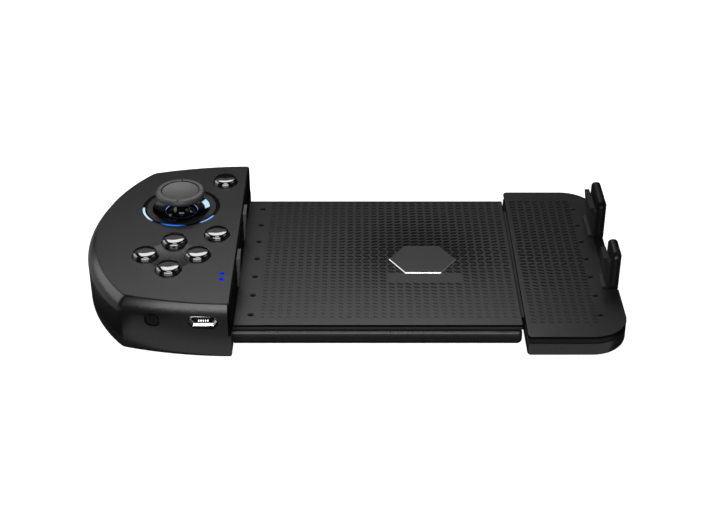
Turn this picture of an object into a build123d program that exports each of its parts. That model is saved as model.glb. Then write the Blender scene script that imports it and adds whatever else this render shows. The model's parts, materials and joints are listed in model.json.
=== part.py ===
from build123d import *
import math
import os

os.makedirs("parts", exist_ok=True)

# A one-handed game controller for phones. X runs from the grip's nose to the claws, Y runs from the
# charging port's side to the shoulder keys' side, and Z runs up from the table. All sizes are millimetres.

# Driving sizes of the whole
pod_length = 51.4
pod_width = 93.6
pod_top = 20.7
bed_length = 92.8
bed_width = 80.3
bed_top = 9.0
end_gap = 1.0
end_length = 32.7
end_width = 93.6
end_travel = 50.0
overrun = 1.0
face_gap = 0.05

overall_length = pod_length + bed_length + end_gap + end_length
wall_x = pod_length - overall_length / 2
bed_end_x = wall_x + bed_length
end_x = bed_end_x + end_gap
right_x = end_x + end_length
pod_half = pod_width / 2
bed_half = bed_width / 2
end_half = end_width / 2

# The grip's outline and its moulded side
corner_x_share = 0.70
corner_y_share = 0.883
arc_middle_share = 0.25
pod_corner_radius = 4.0
side_inset = 1.45
nose_inset = 3.0
shoulder_inset_share = 0.22
shoulder_drop = 2.7
widest_drop = 6.5
parting_height = 5.7
pod_wall = 1.5
cover_floor = 0.4
cover_thickness = 1.6
cover_edge_radius = 2.2

# The face plate on top of the grip
plate_lip = 0.5
plate_tongue = 0.9
plate_edge_radius = 0.2
plate_wall_setback = 0.4
plate_z = pod_top - plate_lip
plate_under = plate_z - plate_tongue
inner_half = pod_half - side_inset - pod_wall
inner_nose = pod_length - nose_inset - pod_wall

# The wall that the phone's edge rests against
wall_plate_thickness = 0.9
wall_plate_seam = 0.27
wall_plate_bottom = bed_top + wall_plate_seam
wall_pad_length = 6.7
wall_pad_spacing = 29.6
wall_pad_top = 20.0
wall_pad_reach = 1.05
wall_pad_foot_reach = 0.35
wall_pad_foot_height = 1.0
wall_inner = wall_plate_thickness + pod_wall


def pod_face(half_width, nose, setback=0.0):
    """The grip's outline: a straight wall, two shallow sides and a rounded nose."""
    start_x = wall_x - setback
    corner_x = wall_x - nose * corner_x_share
    corner_y = half_width * corner_y_share
    middle_x = (wall_x + corner_x) / 2
    middle_y = half_width - (half_width - corner_y) * arc_middle_share
    with BuildSketch() as face:
        with BuildLine():
            Line((wall_x, -half_width), (wall_x, half_width))
            ThreePointArc((wall_x, half_width), (middle_x, middle_y), (corner_x, corner_y))
            ThreePointArc((corner_x, corner_y), (wall_x - nose, 0), (corner_x, -corner_y))
            ThreePointArc((corner_x, -corner_y), (middle_x, -middle_y), (wall_x, -half_width))
        make_face()
        fillet(face.vertices().group_by(Axis.X)[0], radius=pod_corner_radius)
        if setback > 0:
            with Locations((start_x + setback, 0)):
                Rectangle(2 * setback, 2 * half_width + 2 * overrun, mode=Mode.SUBTRACT)
    return face.sketch


def side_strip(out, depth, left, right):
    """A strip that follows the grip's far side between two distances from the wall."""
    with BuildSketch() as strip:
        add(pod_face(pod_half + out, pod_length + out))
        add(pod_face(pod_half - depth, pod_length - depth), mode=Mode.SUBTRACT)
        with Locations((wall_x - (left + right) / 2, pod_half)):
            Rectangle(left - right, pod_half, mode=Mode.INTERSECT)
    return strip.sketch


# Places on the face plate, as distances from the wall and from the centre plane
ring_offset_share = 0.4202
ring_y_share = 0.327
ring_offset = pod_length * ring_offset_share
ring_y = pod_half * ring_y_share
diamond_wallward = 0.2
diamond_drop = 32.1
diamond_radius = 8.6
extra_offset = 7.6
extra_drop = 18.9
home_offset = 7.7
home_rise = 18.1
light_offset = 3.8
light_side_inset = 18.9
light_pitch = 3.5
light_length = 1.4
light_width = 1.4
ring_place = (wall_x - ring_offset, ring_y)
diamond_place = (wall_x - ring_offset + diamond_wallward, ring_y - diamond_drop)
extra_place = (wall_x - extra_offset, ring_y - extra_drop)
home_place = (wall_x - home_offset, ring_y + home_rise)
light_x = wall_x - light_offset
light_ys = (-pod_half + light_side_inset, -pod_half + light_side_inset - light_pitch)

# Push buttons
button_radius = 4.3
button_taper = 14
button_rise = 1.9
button_travel = 1.0
button_edge_radius = 1.0
button_side_gap = 0.15
button_flange_radius = 4.8
button_flange = 1.0
button_stem_radius = 2.0
button_foot_gap = 0.1
dish_radius = 8.2
dish_depth = 0.55

# Circuit board and the rubber mat under the buttons
board_z = 11.8
board_thickness = 1.2
board_top = board_z + board_thickness
board_edge_gap = 0.9
mat_thickness = 0.5
mat_margin = 1.2
dome_radius = 2.4
dome_height = 0.6
dome_top = board_top + mat_thickness + dome_height
button_foot_z = dome_top + button_travel + button_foot_gap

# Thumb stick
stick_pivot_z = 11.5
stick_top = 27.5
cap_radius = 8.55
cap_thickness = 2.3
cap_top_round = 1.0
cap_under_round = 1.0
cap_dish_radius = 6.4
cap_dish_depth = 0.9
cap_notch_length = 1.1
cap_notch_inset = 0.2
cap_notch_width = 0.5
cap_notch_depth = 0.25
cap_notch_count = 4
stem_neck_radius = 2.0
stem_flare_radius = 5.2
stem_flare_height = 3.0
stem_disc_height = 0.8
flare_bow_share = 0.32
hub_radius = 2.4
hub_z = 16.6
neck_z = 19.4
shaft_fit = 0.03
skirt_radius = 8.7
skirt_wall = 0.8
skirt_angle = 59.0
shaft_radius = 1.5
shaft_bottom_drop = 4.6
shaft_top_drop = 1.2
press_travel = 0.4
pin_clearance = 0.05
pivot_block = 5.4
pivot_height = 2.4
yoke_inner_gap = 0.4
yoke_wall = 1.1
axle_radius = 0.6
stick_box = 13.0
stick_box_wall = 0.9
stick_box_corner = 2.5
stick_box_bottom = 3.2
stick_box_top = 12.5
stick_box_floor = 0.8
sensor_thickness = 2.2
sensor_width = 8.0
sensor_height = 7.0
press_switch_radius = 1.6
press_switch_gap = 0.3

stick_plane = Plane(origin=(*ring_place, 0), x_dir=(1, 0, 0), z_dir=(0, -1, 0))
stick_axis = Axis((*ring_place, 0), (0, 0, 1))
cap_z = stick_top - cap_thickness
shaft_bottom = stick_pivot_z - shaft_bottom_drop
shaft_top = cap_z - shaft_top_drop
stick_cutout_radius = 10.0

# Ring around the stick
ring_radius = 13.4
ring_light_width = 0.8
ring_light_depth = 3.4
well_flange_gap = 0.05
bowl_radius = 9.9
bowl_depth = 1.7
bowl_hole_radius = 5.4
bowl_wall = 0.9
well_drop = 0.12
well_top = pod_top - well_drop
skirt_gap = 0.25

# Charging port in the near side
port_offset = 8.7
port_pocket_z = 13.9
port_pocket_length = 9.6
port_pocket_height = 5.0
port_pocket_corner = 1.2
port_pocket_slope = 0.9
port_pocket_depth = 1.3
port_shell_top = 7.9
port_shell_bottom = 6.2
port_shell_height = 2.7
port_shell_wall = 0.35
port_shell_length = 5.6
port_tongue_width = 4.4
port_tongue_thickness = 0.7
port_back = 1.2
port_fit = 0.1
port_tongue_gap = 0.1
port_tongue_rise = 0.35

# Ridged slide switch in the near side
switch_offset = 25.0
switch_z = 13.6
switch_recess_length = 5.1
switch_recess_height = 4.6
switch_recess_depth = 1.2
switch_recess_radius = 2.0
switch_knob_length = 3.6
switch_knob_height = 3.5
switch_knob_sunk = 0.2
switch_ridge_count = 5
switch_ridge_width = 0.3
switch_ridge_depth = 0.25
switch_travel = 1.2
switch_knob_radius = 1.3
switch_ridge_pitch = 0.62
switch_stem_reach = 3.2
switch_stem_grip = 0.6
switch_stem_length = 1.6
switch_stem_height = 1.2
switch_body_length = 7.0
switch_body_depth = 3.0
switch_body_height = 3.2

# Shoulder keys in the far side
key_left = 31.0
key_right = 11.0
bumper_bottom = 13.6
bumper_top = 17.6
bumper_proud = 1.5
bumper_travel = 0.8
trigger_bottom = 6.4
trigger_top = 11.6
trigger_proud = 3.0
trigger_travel = 1.2
key_gap = 0.25
key_depth = 4.2
key_flange_inset = 3.6
key_flange_depth = 1.0
key_flange_overlap = 1.0
key_edge_radius = 0.6
key_switch_length = 4.0
key_switch_depth = 2.4
key_switch_height = 3.4
key_switch_gap = 0.15

# Battery
battery_length = 22.0
battery_width = 32.0
battery_height = 5.4
battery_corner = 1.5
battery_stick_offset = 0.2
battery_side_inset = 27.8
battery_place = (wall_x - ring_offset - battery_stick_offset, -pod_half + battery_side_inset)

# Status lights
light_chip_height = 0.3
light_pipe_gap = 0.1

# Screws and feet
screw_radius = 1.0
screw_head_radius = 1.9
screw_head_height = 0.8
screw_head_recess = 0.9
screw_hole_spare = 1.0
screw_slot_length = 2.2
screw_slot_width = 0.5
screw_slot_depth = 0.45
foot_chamfer = 0.2
end_screw_length = 3.6
screw_gap = 0.05
boss_radius = 2.2
boss_wall_inset = 4.4
boss_rear_inset = 5.5
boss_front_inset = 9.8
boss_nose_inset = 7.8
boss_nose_spread = 14.0
pod_boss_places = (
    (wall_x - boss_wall_inset, pod_half - boss_rear_inset),
    (wall_x - boss_wall_inset, -pod_half + boss_front_inset),
    (wall_x - pod_length + boss_nose_inset, boss_nose_spread),
    (wall_x - pod_length + boss_nose_inset, -boss_nose_spread),
)
pod_screw_length = 12.0
pillar_gap = 0.6
foot_radius = 3.6
foot_recess = 0.3
foot_wall_inset = 10.0
foot_side_inset = 13.8
foot_nose_inset = 11.4
pod_foot_places = (
    (wall_x - foot_wall_inset, pod_half - foot_side_inset),
    (wall_x - foot_wall_inset, -pod_half + foot_side_inset),
    (wall_x - pod_length + foot_nose_inset, 0),
)
bed_foot_place = (0, 0)
cover_inside = cover_floor + cover_thickness
pod_head_z = cover_floor + screw_head_recess

# Bed under the phone
bed_bottom = 1.0
bed_body_top = 6.3
bed_groove_depth = 1.4
skin_thickness = 0.8
skin_under = bed_top - skin_thickness
bed_floor = 1.6
bed_wall = 2.1
bed_edge_radius = 1.9
bed_shoulder_radius = 1.2
skin_edge_radius = 0.3
bed_end_radius = 1.2
flange_length = 9.0
flange_side_inset = 18.8
flange_half = pod_half - flange_side_inset
flange_thickness = 1.6
flange_gap = 0.15
flange_screw_margin = 8.0
flange_screw_pitch = flange_half - flange_screw_margin
flange_screw_inset = 5.0
flange_screw_places = [(wall_x - flange_screw_inset, way * flange_screw_pitch) for way in (-1, 0, 1)]

# Rubber nubs that grip the phone
nub_pitch = 11.4
nub_count = 7
nub_radius = 1.05
nub_rise = 0.45
nub_stem_radius = 0.7
nub_sphere_radius = (nub_radius**2 + nub_rise**2) / (2 * nub_rise)
bed_nub_inset = 5.3
end_nub_inset = 8.4
bed_nub_x = wall_x + bed_nub_inset
end_nub_x = right_x - end_nub_inset
nub_ys = [((nub_count - 1) / 2 - index) * nub_pitch for index in range(nub_count)]

# Six-sided plate on the bed
badge_half_length = 11.55
badge_half_width = 8.85
badge_half_edge = 6.1
badge_forward = 0.75
badge_rise = 0.35
badge_chamfer = 0.25
badge_offset = 62.0
badge_x = wall_x + badge_offset

# Telescoping slide
slide_top_gap = 0.3
slide_floor_gap = 0.4
slide_top = skin_under - slide_top_gap
slide_bottom = bed_bottom + bed_floor + slide_floor_gap
slide_skin = 1.2
slide_rib = 1.6
slide_channels = 5
slide_in_end = 22.0
slide_left_gap = 8.0
slide_left_x = wall_x + slide_left_gap
slide_end_rib = 3.0
rail_width = 2.4
rail_groove_depth = 1.1
rail_groove_height = 2.0
rail_gap = 0.15
rail_end_gap = 0.2
slide_slot_gap = 0.3
cavity_half = bed_half - bed_groove_depth - bed_wall
rail_inner = cavity_half - rail_width
slide_half = rail_inner - rail_gap
spring_radius = 1.7
spring_wall = 0.5
spring_post_radius = 0.9
spring_post_offset = 4.6
spring_post_x = wall_x + spring_post_offset
spring_hook_gap = 0.2
spring_post_height = 4.0
spring_far_post_height = 3.2
spring_floor_gap = 0.6
channel_width = (2 * slide_half - (slide_channels + 1) * slide_rib) / slide_channels
spring_ys = (channel_width + slide_rib, -channel_width - slide_rib)

# End piece with the claws
end_bottom = 1.5
end_corner_radius = 12.0
end_near_radius = 1.2
end_floor = 1.4
end_wall = 2.2
end_band_inset = 0.25
end_foot_offset = 20.0
end_foot_places = [(end_x + end_foot_offset, way * (end_half - foot_side_inset)) for way in (1, -1)]
end_screw_near = 6.0
end_screw_far = 17.0
end_screw_spread = 20.0
end_screw_places = [
    (end_x + offset, way * end_screw_spread)
    for offset in (end_screw_near, end_screw_far)
    for way in (1, -1)
]

# Claws
claw_thickness = 3.3
claw_edge_gap = 0.1
claw_top = 23.0
claw_strip_width = 3.5
claw_strip_drop = 0.3
claw_strip_depth = 1.4
claw_rear_start = 14.8
claw_rear_length = 14.4
claw_front_start = -18.5
claw_front_length = 8.3
claw_ys = {
    "rear": (claw_rear_start, claw_rear_start + claw_rear_length),
    "front": (claw_front_start, claw_front_start + claw_front_length),
}
claw_strip_margin = 0.6
claw_round = 1.4
claw_core_thickness = 1.5
claw_core_top_gap = 1.6
claw_core_bottom_gap = 0.7
claw_core_setback = 0.5
claw_pin_radius = 0.6
claw_pin_drop = 2.4
claw_pin_proud = 0.2
claw_pad_reach = 2.45
claw_pad_top = 20.6
claw_pad_back = 0.75
claw_pad_step = 1.6
claw_pad_web = 0.95
claw_pad_foot = 2.0
claw_pad_foot_height = 0.45
claw_pad_inset = 0.9


def side_y(distance):
    """How far the widest part of the grip's side is from the centre plane, at a distance from the wall."""
    drop = pod_half * (1 - corner_y_share)
    return pod_half - drop * (distance / (pod_length * corner_x_share)) ** 2


def side_angle(distance):
    """How far the side has turned from the straight there, in degrees."""
    drop = pod_half * (1 - corner_y_share)
    return math.degrees(math.atan(2 * drop * distance / (pod_length * corner_x_share) ** 2))


diamond_places = [
    (diamond_place[0], diamond_place[1] + diamond_radius),
    (diamond_place[0] - diamond_radius, diamond_place[1]),
    (diamond_place[0] + diamond_radius, diamond_place[1]),
    (diamond_place[0], diamond_place[1] - diamond_radius),
]
button_places = {f"face_button_{index + 1}": place for index, place in enumerate(diamond_places)}
button_places["extra_button"] = extra_place
button_places["home_button"] = home_place

switch_turn = math.radians(side_angle(switch_offset))
switch_plane = Plane(
    origin=(wall_x - switch_offset, -side_y(switch_offset), switch_z),
    x_dir=(math.cos(switch_turn), -math.sin(switch_turn), 0),
    z_dir=(-math.sin(switch_turn), -math.cos(switch_turn), 0),
)
port_x = wall_x - port_offset
port_face_y = -side_y(port_offset)
port_shell_z = board_top + face_gap + port_shell_height / 2
port_inner_y = port_face_y + port_pocket_depth
port_pocket_floor = port_pocket_z - port_pocket_height / 2


def port_outline(grow):
    """The shell of the charging port: wide on top and drawn in below."""
    top = port_shell_height / 2 + grow
    with BuildSketch() as outline:
        with BuildLine():
            Polyline(
                (-port_shell_top / 2 - grow, top),
                (port_shell_top / 2 + grow, top),
                (port_shell_top / 2 + grow, 0),
                (port_shell_bottom / 2 + grow, -top),
                (-port_shell_bottom / 2 - grow, -top),
                (-port_shell_top / 2 - grow, 0),
                close=True,
            )
        make_face()
    return outline.sketch


# The grip's frame: the side band between the face plate and the bottom cover
with BuildPart() as pod_frame:
    with BuildSketch(Plane.XY.offset(parting_height)):
        add(pod_face(pod_half, pod_length))
    extrude(amount=pod_top - widest_drop - parting_height)
    with BuildSketch(Plane.XY.offset(pod_top - widest_drop)):
        add(pod_face(pod_half, pod_length))
    with BuildSketch(Plane.XY.offset(plate_z - shoulder_drop)):
        add(
            pod_face(
                pod_half - side_inset * shoulder_inset_share,
                pod_length - nose_inset * shoulder_inset_share,
            )
        )
    with BuildSketch(Plane.XY.offset(plate_z)):
        add(pod_face(pod_half - side_inset, pod_length - nose_inset))
    loft()
    with BuildSketch(Plane.XY.offset(parting_height)):
        add(pod_face(inner_half, inner_nose, wall_inner))
    extrude(amount=pod_top - parting_height, mode=Mode.SUBTRACT)
    # The pocket for the wall plate
    with BuildSketch(Plane.XY.offset(wall_plate_bottom)):
        with Locations((wall_x, 0)):
            Rectangle(2 * wall_plate_thickness, pod_width + 2 * overrun)
    extrude(amount=pod_top, mode=Mode.SUBTRACT)
    # Screw bosses along the inside of the wall
    with BuildSketch(Plane.XY.offset(parting_height)):
        with Locations(*pod_boss_places):
            Circle(boss_radius)
    extrude(amount=plate_under - pillar_gap - parting_height)
    with BuildSketch(Plane.XY.offset(parting_height)):
        with Locations(*pod_boss_places):
            Circle(screw_radius + screw_gap)
    extrude(amount=pod_head_z + pod_screw_length + screw_hole_spare - parting_height, mode=Mode.SUBTRACT)
    # The charging port's pocket and the hole behind it
    with BuildSketch(Plane.XZ.offset(-port_face_y + overrun)):
        with Locations((port_x, port_pocket_z + port_pocket_slope / 2)):
            Rectangle(port_pocket_length, port_pocket_height - port_pocket_slope)
        chamfer(vertices(), length=port_pocket_corner)
    extrude(amount=-port_pocket_depth - overrun, mode=Mode.SUBTRACT)
    with BuildSketch(Plane.YZ.offset(port_x - port_pocket_length / 2 + port_pocket_corner)):
        with BuildLine():
            Polyline(
                (port_inner_y, port_pocket_floor + port_pocket_slope),
                (port_face_y - overrun, port_pocket_floor + port_pocket_slope),
                (port_face_y - overrun, port_pocket_floor),
                close=True,
            )
        make_face()
    extrude(amount=port_pocket_length - 2 * port_pocket_corner, mode=Mode.SUBTRACT)
    with BuildSketch(Plane.XZ.offset(-port_inner_y + overrun)):
        with Locations((port_x, port_shell_z)):
            add(port_outline(port_fit))
    extrude(amount=-pod_wall * 2 - overrun, mode=Mode.SUBTRACT)
    # The switch's recess and the slot for its stem
    with BuildSketch(switch_plane.offset(overrun)):
        RectangleRounded(switch_recess_length, switch_recess_height, switch_recess_radius)
    extrude(amount=-switch_recess_depth - overrun, mode=Mode.SUBTRACT)
    with BuildSketch(switch_plane):
        Rectangle(switch_stem_length + switch_travel + 2 * key_gap, switch_stem_height + 2 * key_gap)
    extrude(amount=-2 * key_depth, mode=Mode.SUBTRACT)
    # Openings for the shoulder keys
    for key_bottom, key_top in ((bumper_bottom, bumper_top), (trigger_bottom, trigger_top)):
        with BuildSketch(Plane.XY.offset(key_bottom - key_gap)):
            add(side_strip(trigger_proud, key_depth, key_left + key_gap, key_right - key_gap))
        extrude(amount=key_top - key_bottom + 2 * key_gap, mode=Mode.SUBTRACT)
pod_frame.part.label = "pod_frame"
export_step(pod_frame.part, "parts/pod_frame.step")

# The bottom cover, with its screw pillars and the slot that takes the bed's flange
flange_z = cover_inside + face_gap
with BuildPart() as pod_bottom_cover:
    with BuildSketch(Plane.XY.offset(cover_floor)):
        add(pod_face(pod_half, pod_length))
    extrude(amount=parting_height - cover_floor)
    fillet(pod_bottom_cover.edges().group_by(Axis.Z)[0], radius=cover_edge_radius)
    with BuildSketch(Plane.XY.offset(cover_inside)):
        add(pod_face(inner_half, inner_nose, wall_inner))
    extrude(amount=parting_height, mode=Mode.SUBTRACT)
    with BuildSketch(Plane.XY.offset(cover_inside)):
        with Locations(*pod_boss_places):
            Circle(boss_radius)
    extrude(amount=parting_height - cover_inside)
    # A pad under the stick's box
    with BuildSketch(Plane.XY.offset(cover_inside)):
        with Locations(ring_place):
            Rectangle(stick_box, stick_box)
    extrude(amount=stick_box_bottom - cover_inside)
    with BuildSketch(Plane.XY.offset(cover_floor)):
        with Locations(*pod_boss_places, *flange_screw_places):
            Circle(screw_radius + screw_gap)
    extrude(amount=parting_height, mode=Mode.SUBTRACT)
    with BuildSketch(Plane.XY.offset(cover_floor)):
        with Locations(*pod_boss_places, *flange_screw_places):
            Circle(screw_head_radius + screw_gap)
    extrude(amount=screw_head_recess, mode=Mode.SUBTRACT)
    with BuildSketch(Plane.XY.offset(cover_floor)):
        with Locations(*pod_foot_places):
            Circle(foot_radius + screw_gap)
    extrude(amount=foot_recess, mode=Mode.SUBTRACT)
    with BuildSketch(Plane.YZ.offset(wall_x + overrun)):
        with Locations((0, flange_z + flange_thickness / 2)):
            Rectangle(2 * (flange_half + flange_gap), flange_thickness + 2 * face_gap)
    extrude(amount=-wall_inner - 2 * overrun, mode=Mode.SUBTRACT)
pod_bottom_cover.part.label = "pod_bottom_cover"
export_step(pod_bottom_cover.part, "parts/pod_bottom_cover.step")

# The face plate: a thin lip that shows, and a tongue that sits inside the frame
dish_sphere_radius = (dish_radius**2 + dish_depth**2) / (2 * dish_depth)
with BuildPart() as face_plate:
    with BuildSketch(Plane.XY.offset(plate_z)):
        add(pod_face(pod_half - side_inset, pod_length - nose_inset, plate_wall_setback))
    extrude(amount=plate_lip)
    fillet(face_plate.edges().group_by(Axis.Z)[-1], radius=plate_edge_radius)
    with BuildSketch(Plane.XY.offset(plate_under)):
        add(pod_face(inner_half - face_gap, inner_nose - face_gap, wall_inner + face_gap))
    extrude(amount=plate_tongue)
    with BuildSketch(Plane.XY.offset(plate_under)):
        with Locations(*button_places.values()):
            Circle(button_radius + button_side_gap)
        with Locations(ring_place):
            Circle(ring_radius + face_gap)
        for light_y in light_ys:
            with Locations((light_x, light_y)):
                Rectangle(light_length + 2 * face_gap, light_width + 2 * face_gap)
    extrude(amount=pod_top, mode=Mode.SUBTRACT)
    with Locations((*diamond_place, pod_top - dish_depth + dish_sphere_radius)):
        Sphere(dish_sphere_radius, mode=Mode.SUBTRACT)
face_plate.part.label = "face_plate"
export_step(face_plate.part, "parts/face_plate.step")

# The plate that faces the phone's edge, with pockets for its two pads
pad_ys = {"rear": wall_pad_spacing / 2, "front": -wall_pad_spacing / 2}
with BuildPart() as wall_plate:
    with BuildSketch(Plane.XY.offset(wall_plate_bottom)):
        with Locations((wall_x - wall_plate_thickness / 2, 0)):
            Rectangle(wall_plate_thickness, pod_width - 2 * side_inset)
    extrude(amount=plate_z - wall_plate_bottom)
    with BuildSketch(Plane.XY.offset(wall_plate_bottom)):
        for pad_y in pad_ys.values():
            with Locations((wall_x, pad_y)):
                Rectangle(2 * wall_plate_thickness + overrun, wall_pad_length + 2 * face_gap)
    extrude(amount=wall_pad_top - wall_plate_bottom + face_gap, mode=Mode.SUBTRACT)
wall_plate.part.label = "wall_plate"
export_step(wall_plate.part, "parts/wall_plate.step")

for side, pad_y in pad_ys.items():
    with BuildPart() as wall_pad:
        with BuildSketch(Plane.XZ.offset(-pad_y - wall_pad_length / 2)):
            with BuildLine():
                Polyline(
                    (wall_x - wall_plate_thickness, wall_plate_bottom),
                    (wall_x + wall_pad_foot_reach, wall_plate_bottom),
                    (wall_x + wall_pad_foot_reach, wall_plate_bottom + wall_pad_foot_height),
                    (wall_x + wall_pad_reach, wall_pad_top),
                    (wall_x - wall_plate_thickness, wall_pad_top),
                    close=True,
                )
            make_face()
        extrude(amount=wall_pad_length)
    wall_pad.part.label = f"wall_pad_{side}"
    export_step(wall_pad.part, f"parts/wall_pad_{side}.step")

# The light ring around the stick, held under the face plate by its flange
with BuildPart() as ring_light:
    with BuildSketch(Plane.XY.offset(well_top - ring_light_depth)):
        with Locations(ring_place):
            Circle(ring_radius + ring_light_width)
            Circle(ring_radius - 2 * ring_light_width, mode=Mode.SUBTRACT)
    extrude(amount=plate_under - face_gap - well_top + ring_light_depth)
    with BuildSketch(Plane.XY.offset(well_top - ring_light_depth)):
        with Locations(ring_place):
            Circle(ring_radius)
            Circle(ring_radius - ring_light_width, mode=Mode.SUBTRACT)
    extrude(amount=ring_light_depth)
ring_light.part.label = "ring_light"
export_step(ring_light.part, "parts/ring_light.step")

# The well: a flat flange, a bowl and the hole that the stick comes out of
well_flange_radius = ring_radius - ring_light_width - well_flange_gap
bowl_z = well_top - bowl_depth
bowl_middle_share = 0.62
bowl_drop_share = 0.78
bowl_middle_r = bowl_hole_radius + (bowl_radius - bowl_hole_radius) * bowl_middle_share
bowl_middle_z = well_top - bowl_depth * bowl_drop_share
well_flange_z = plate_under
with BuildPart() as stick_well:
    with BuildSketch(stick_plane):
        with BuildLine():
            Line((bowl_hole_radius, bowl_z - bowl_wall), (bowl_hole_radius, bowl_z))
            ThreePointArc(
                (bowl_hole_radius, bowl_z),
                (bowl_middle_r, bowl_middle_z),
                (bowl_radius, well_top),
            )
            Polyline(
                (bowl_radius, well_top),
                (well_flange_radius, well_top),
                (well_flange_radius, well_flange_z),
                (bowl_radius + bowl_wall, well_flange_z),
                (bowl_middle_r + bowl_wall, bowl_z - bowl_wall),
                (bowl_hole_radius, bowl_z - bowl_wall),
            )
        make_face()
    revolve(axis=stick_axis)
    with Locations((*ring_place, stick_pivot_z)):
        Sphere(skirt_radius + skirt_gap, mode=Mode.SUBTRACT)
stick_well.part.label = "stick_well"
export_step(stick_well.part, "parts/stick_well.step")

# The stick's box: four walls with a hole on each side for the yoke's axle
with BuildPart() as stick_box_body:
    with BuildSketch(Plane.XY.offset(stick_box_bottom)):
        with Locations(ring_place):
            Rectangle(stick_box, stick_box)
        chamfer(vertices(), length=stick_box_corner)
    extrude(amount=stick_box_top - stick_box_bottom)
    with BuildSketch(Plane.XY.offset(stick_box_bottom + stick_box_floor)):
        with Locations(ring_place):
            Rectangle(stick_box - 2 * stick_box_wall, stick_box - 2 * stick_box_wall)
        chamfer(vertices(), length=stick_box_corner)
    extrude(amount=stick_box_top, mode=Mode.SUBTRACT)
    with BuildSketch(Plane.YZ.offset(ring_place[0] - stick_box)):
        with Locations((ring_place[1], stick_pivot_z)):
            Circle(axle_radius + pin_clearance)
    extrude(amount=2 * stick_box, mode=Mode.SUBTRACT)
stick_box_body.part.label = "stick_box"
export_step(stick_box_body.part, "parts/stick_box.step")

# The two sensors that read the tilt, beside the box
with BuildPart() as stick_sensors:
    with BuildSketch(Plane.XY.offset(stick_box_bottom + stick_box_floor)):
        with Locations((ring_place[0] + stick_box / 2 + sensor_thickness / 2 + face_gap, ring_place[1])):
            Rectangle(sensor_thickness, sensor_width)
        with Locations((ring_place[0], ring_place[1] + stick_box / 2 + sensor_thickness / 2 + face_gap)):
            Rectangle(sensor_width, sensor_thickness)
    extrude(amount=sensor_height)
stick_sensors.part.label = "stick_sensors"
export_step(stick_sensors.part, "parts/stick_sensors.step")

# The switch under the stick that a press of the cap closes
with BuildPart() as press_switch:
    with BuildSketch(Plane.XY.offset(stick_box_bottom + stick_box_floor)):
        with Locations(ring_place):
            Circle(press_switch_radius)
    extrude(amount=shaft_bottom - press_travel - press_switch_gap - stick_box_bottom - stick_box_floor)
press_switch.part.label = "press_switch"
export_step(press_switch.part, "parts/press_switch.step")

# The outer yoke: a square ring on two axles along X
yoke_inner = pivot_block / 2 + yoke_inner_gap
yoke_outer = yoke_inner + yoke_wall
with BuildPart() as stick_yoke:
    with BuildSketch(Plane.XY.offset(stick_pivot_z - pivot_height / 2)):
        with Locations(ring_place):
            Rectangle(2 * yoke_outer, 2 * yoke_outer)
            Rectangle(2 * yoke_inner, 2 * yoke_inner, mode=Mode.SUBTRACT)
    extrude(amount=pivot_height)
    for way in (1, -1):
        with BuildSketch(Plane.YZ.offset(ring_place[0] + way * yoke_outer)):
            with Locations((ring_place[1], stick_pivot_z)):
                Circle(axle_radius)
        extrude(amount=way * (stick_box / 2 - yoke_outer - face_gap))
    with BuildSketch(Plane.XZ.offset(-ring_place[1] - stick_box / 2)):
        with Locations((ring_place[0], stick_pivot_z)):
            Circle(axle_radius + pin_clearance)
    extrude(amount=stick_box, mode=Mode.SUBTRACT)
stick_yoke.part.label = "stick_yoke"
export_step(stick_yoke.part, "parts/stick_yoke.step")

# The pivot block inside the yoke, on two axles along Y, with the bore that the shaft slides in
with BuildPart() as stick_pivot:
    with BuildSketch(Plane.XY.offset(stick_pivot_z - pivot_height / 2)):
        with Locations(ring_place):
            Rectangle(pivot_block, pivot_block)
    extrude(amount=pivot_height)
    for way in (1, -1):
        with BuildSketch(Plane.XZ.offset(-ring_place[1] + way * pivot_block / 2)):
            with Locations((ring_place[0], stick_pivot_z)):
                Circle(axle_radius)
        extrude(amount=way * (yoke_outer - pivot_block / 2))
    with BuildSketch(Plane.XY.offset(stick_pivot_z - pivot_height)):
        with Locations(ring_place):
            Circle(shaft_radius + pin_clearance)
    extrude(amount=2 * pivot_height, mode=Mode.SUBTRACT)
stick_pivot.part.label = "stick_pivot"
export_step(stick_pivot.part, "parts/stick_pivot.step")

with BuildPart() as stick_shaft:
    with BuildSketch(Plane.XY.offset(shaft_bottom)):
        with Locations(ring_place):
            Circle(shaft_radius)
    extrude(amount=shaft_top - shaft_bottom)
stick_shaft.part.label = "stick_shaft"
export_step(stick_shaft.part, "parts/stick_shaft.step")

# The glossy stem: a skirt that closes the well's hole, a neck and a flare under the cap
skirt_z = stick_pivot_z + skirt_radius * math.cos(math.radians(skirt_angle))
with BuildPart() as stick_stem:
    with Locations((*ring_place, stick_pivot_z)):
        Sphere(skirt_radius)
        Sphere(skirt_radius - skirt_wall, mode=Mode.SUBTRACT)
    with BuildSketch(Plane.XY.offset(stick_pivot_z - skirt_radius)):
        with Locations(ring_place):
            Circle(skirt_radius + overrun)
    extrude(amount=skirt_z - stick_pivot_z + skirt_radius, mode=Mode.SUBTRACT)
    with BuildSketch(stick_plane):
        with BuildLine():
            Polyline(
                (0, hub_z),
                (hub_radius, hub_z),
                (stem_neck_radius, neck_z),
                (stem_neck_radius, cap_z - stem_flare_height),
            )
            ThreePointArc(
                (stem_neck_radius, cap_z - stem_flare_height),
                (
                    stem_neck_radius + (stem_flare_radius - stem_neck_radius) * flare_bow_share,
                    cap_z - stem_flare_height * flare_bow_share,
                ),
                (stem_flare_radius, cap_z),
            )
            Polyline(
                (stem_flare_radius, cap_z),
                (stem_flare_radius, cap_z + stem_disc_height),
                (0, cap_z + stem_disc_height),
                (0, hub_z),
            )
        make_face()
    revolve(axis=stick_axis)
    with BuildSketch(Plane.XY.offset(hub_z - overrun)):
        with Locations(ring_place):
            Circle(shaft_radius + shaft_fit)
    extrude(amount=shaft_top + face_gap - hub_z + overrun, mode=Mode.SUBTRACT)
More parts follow.
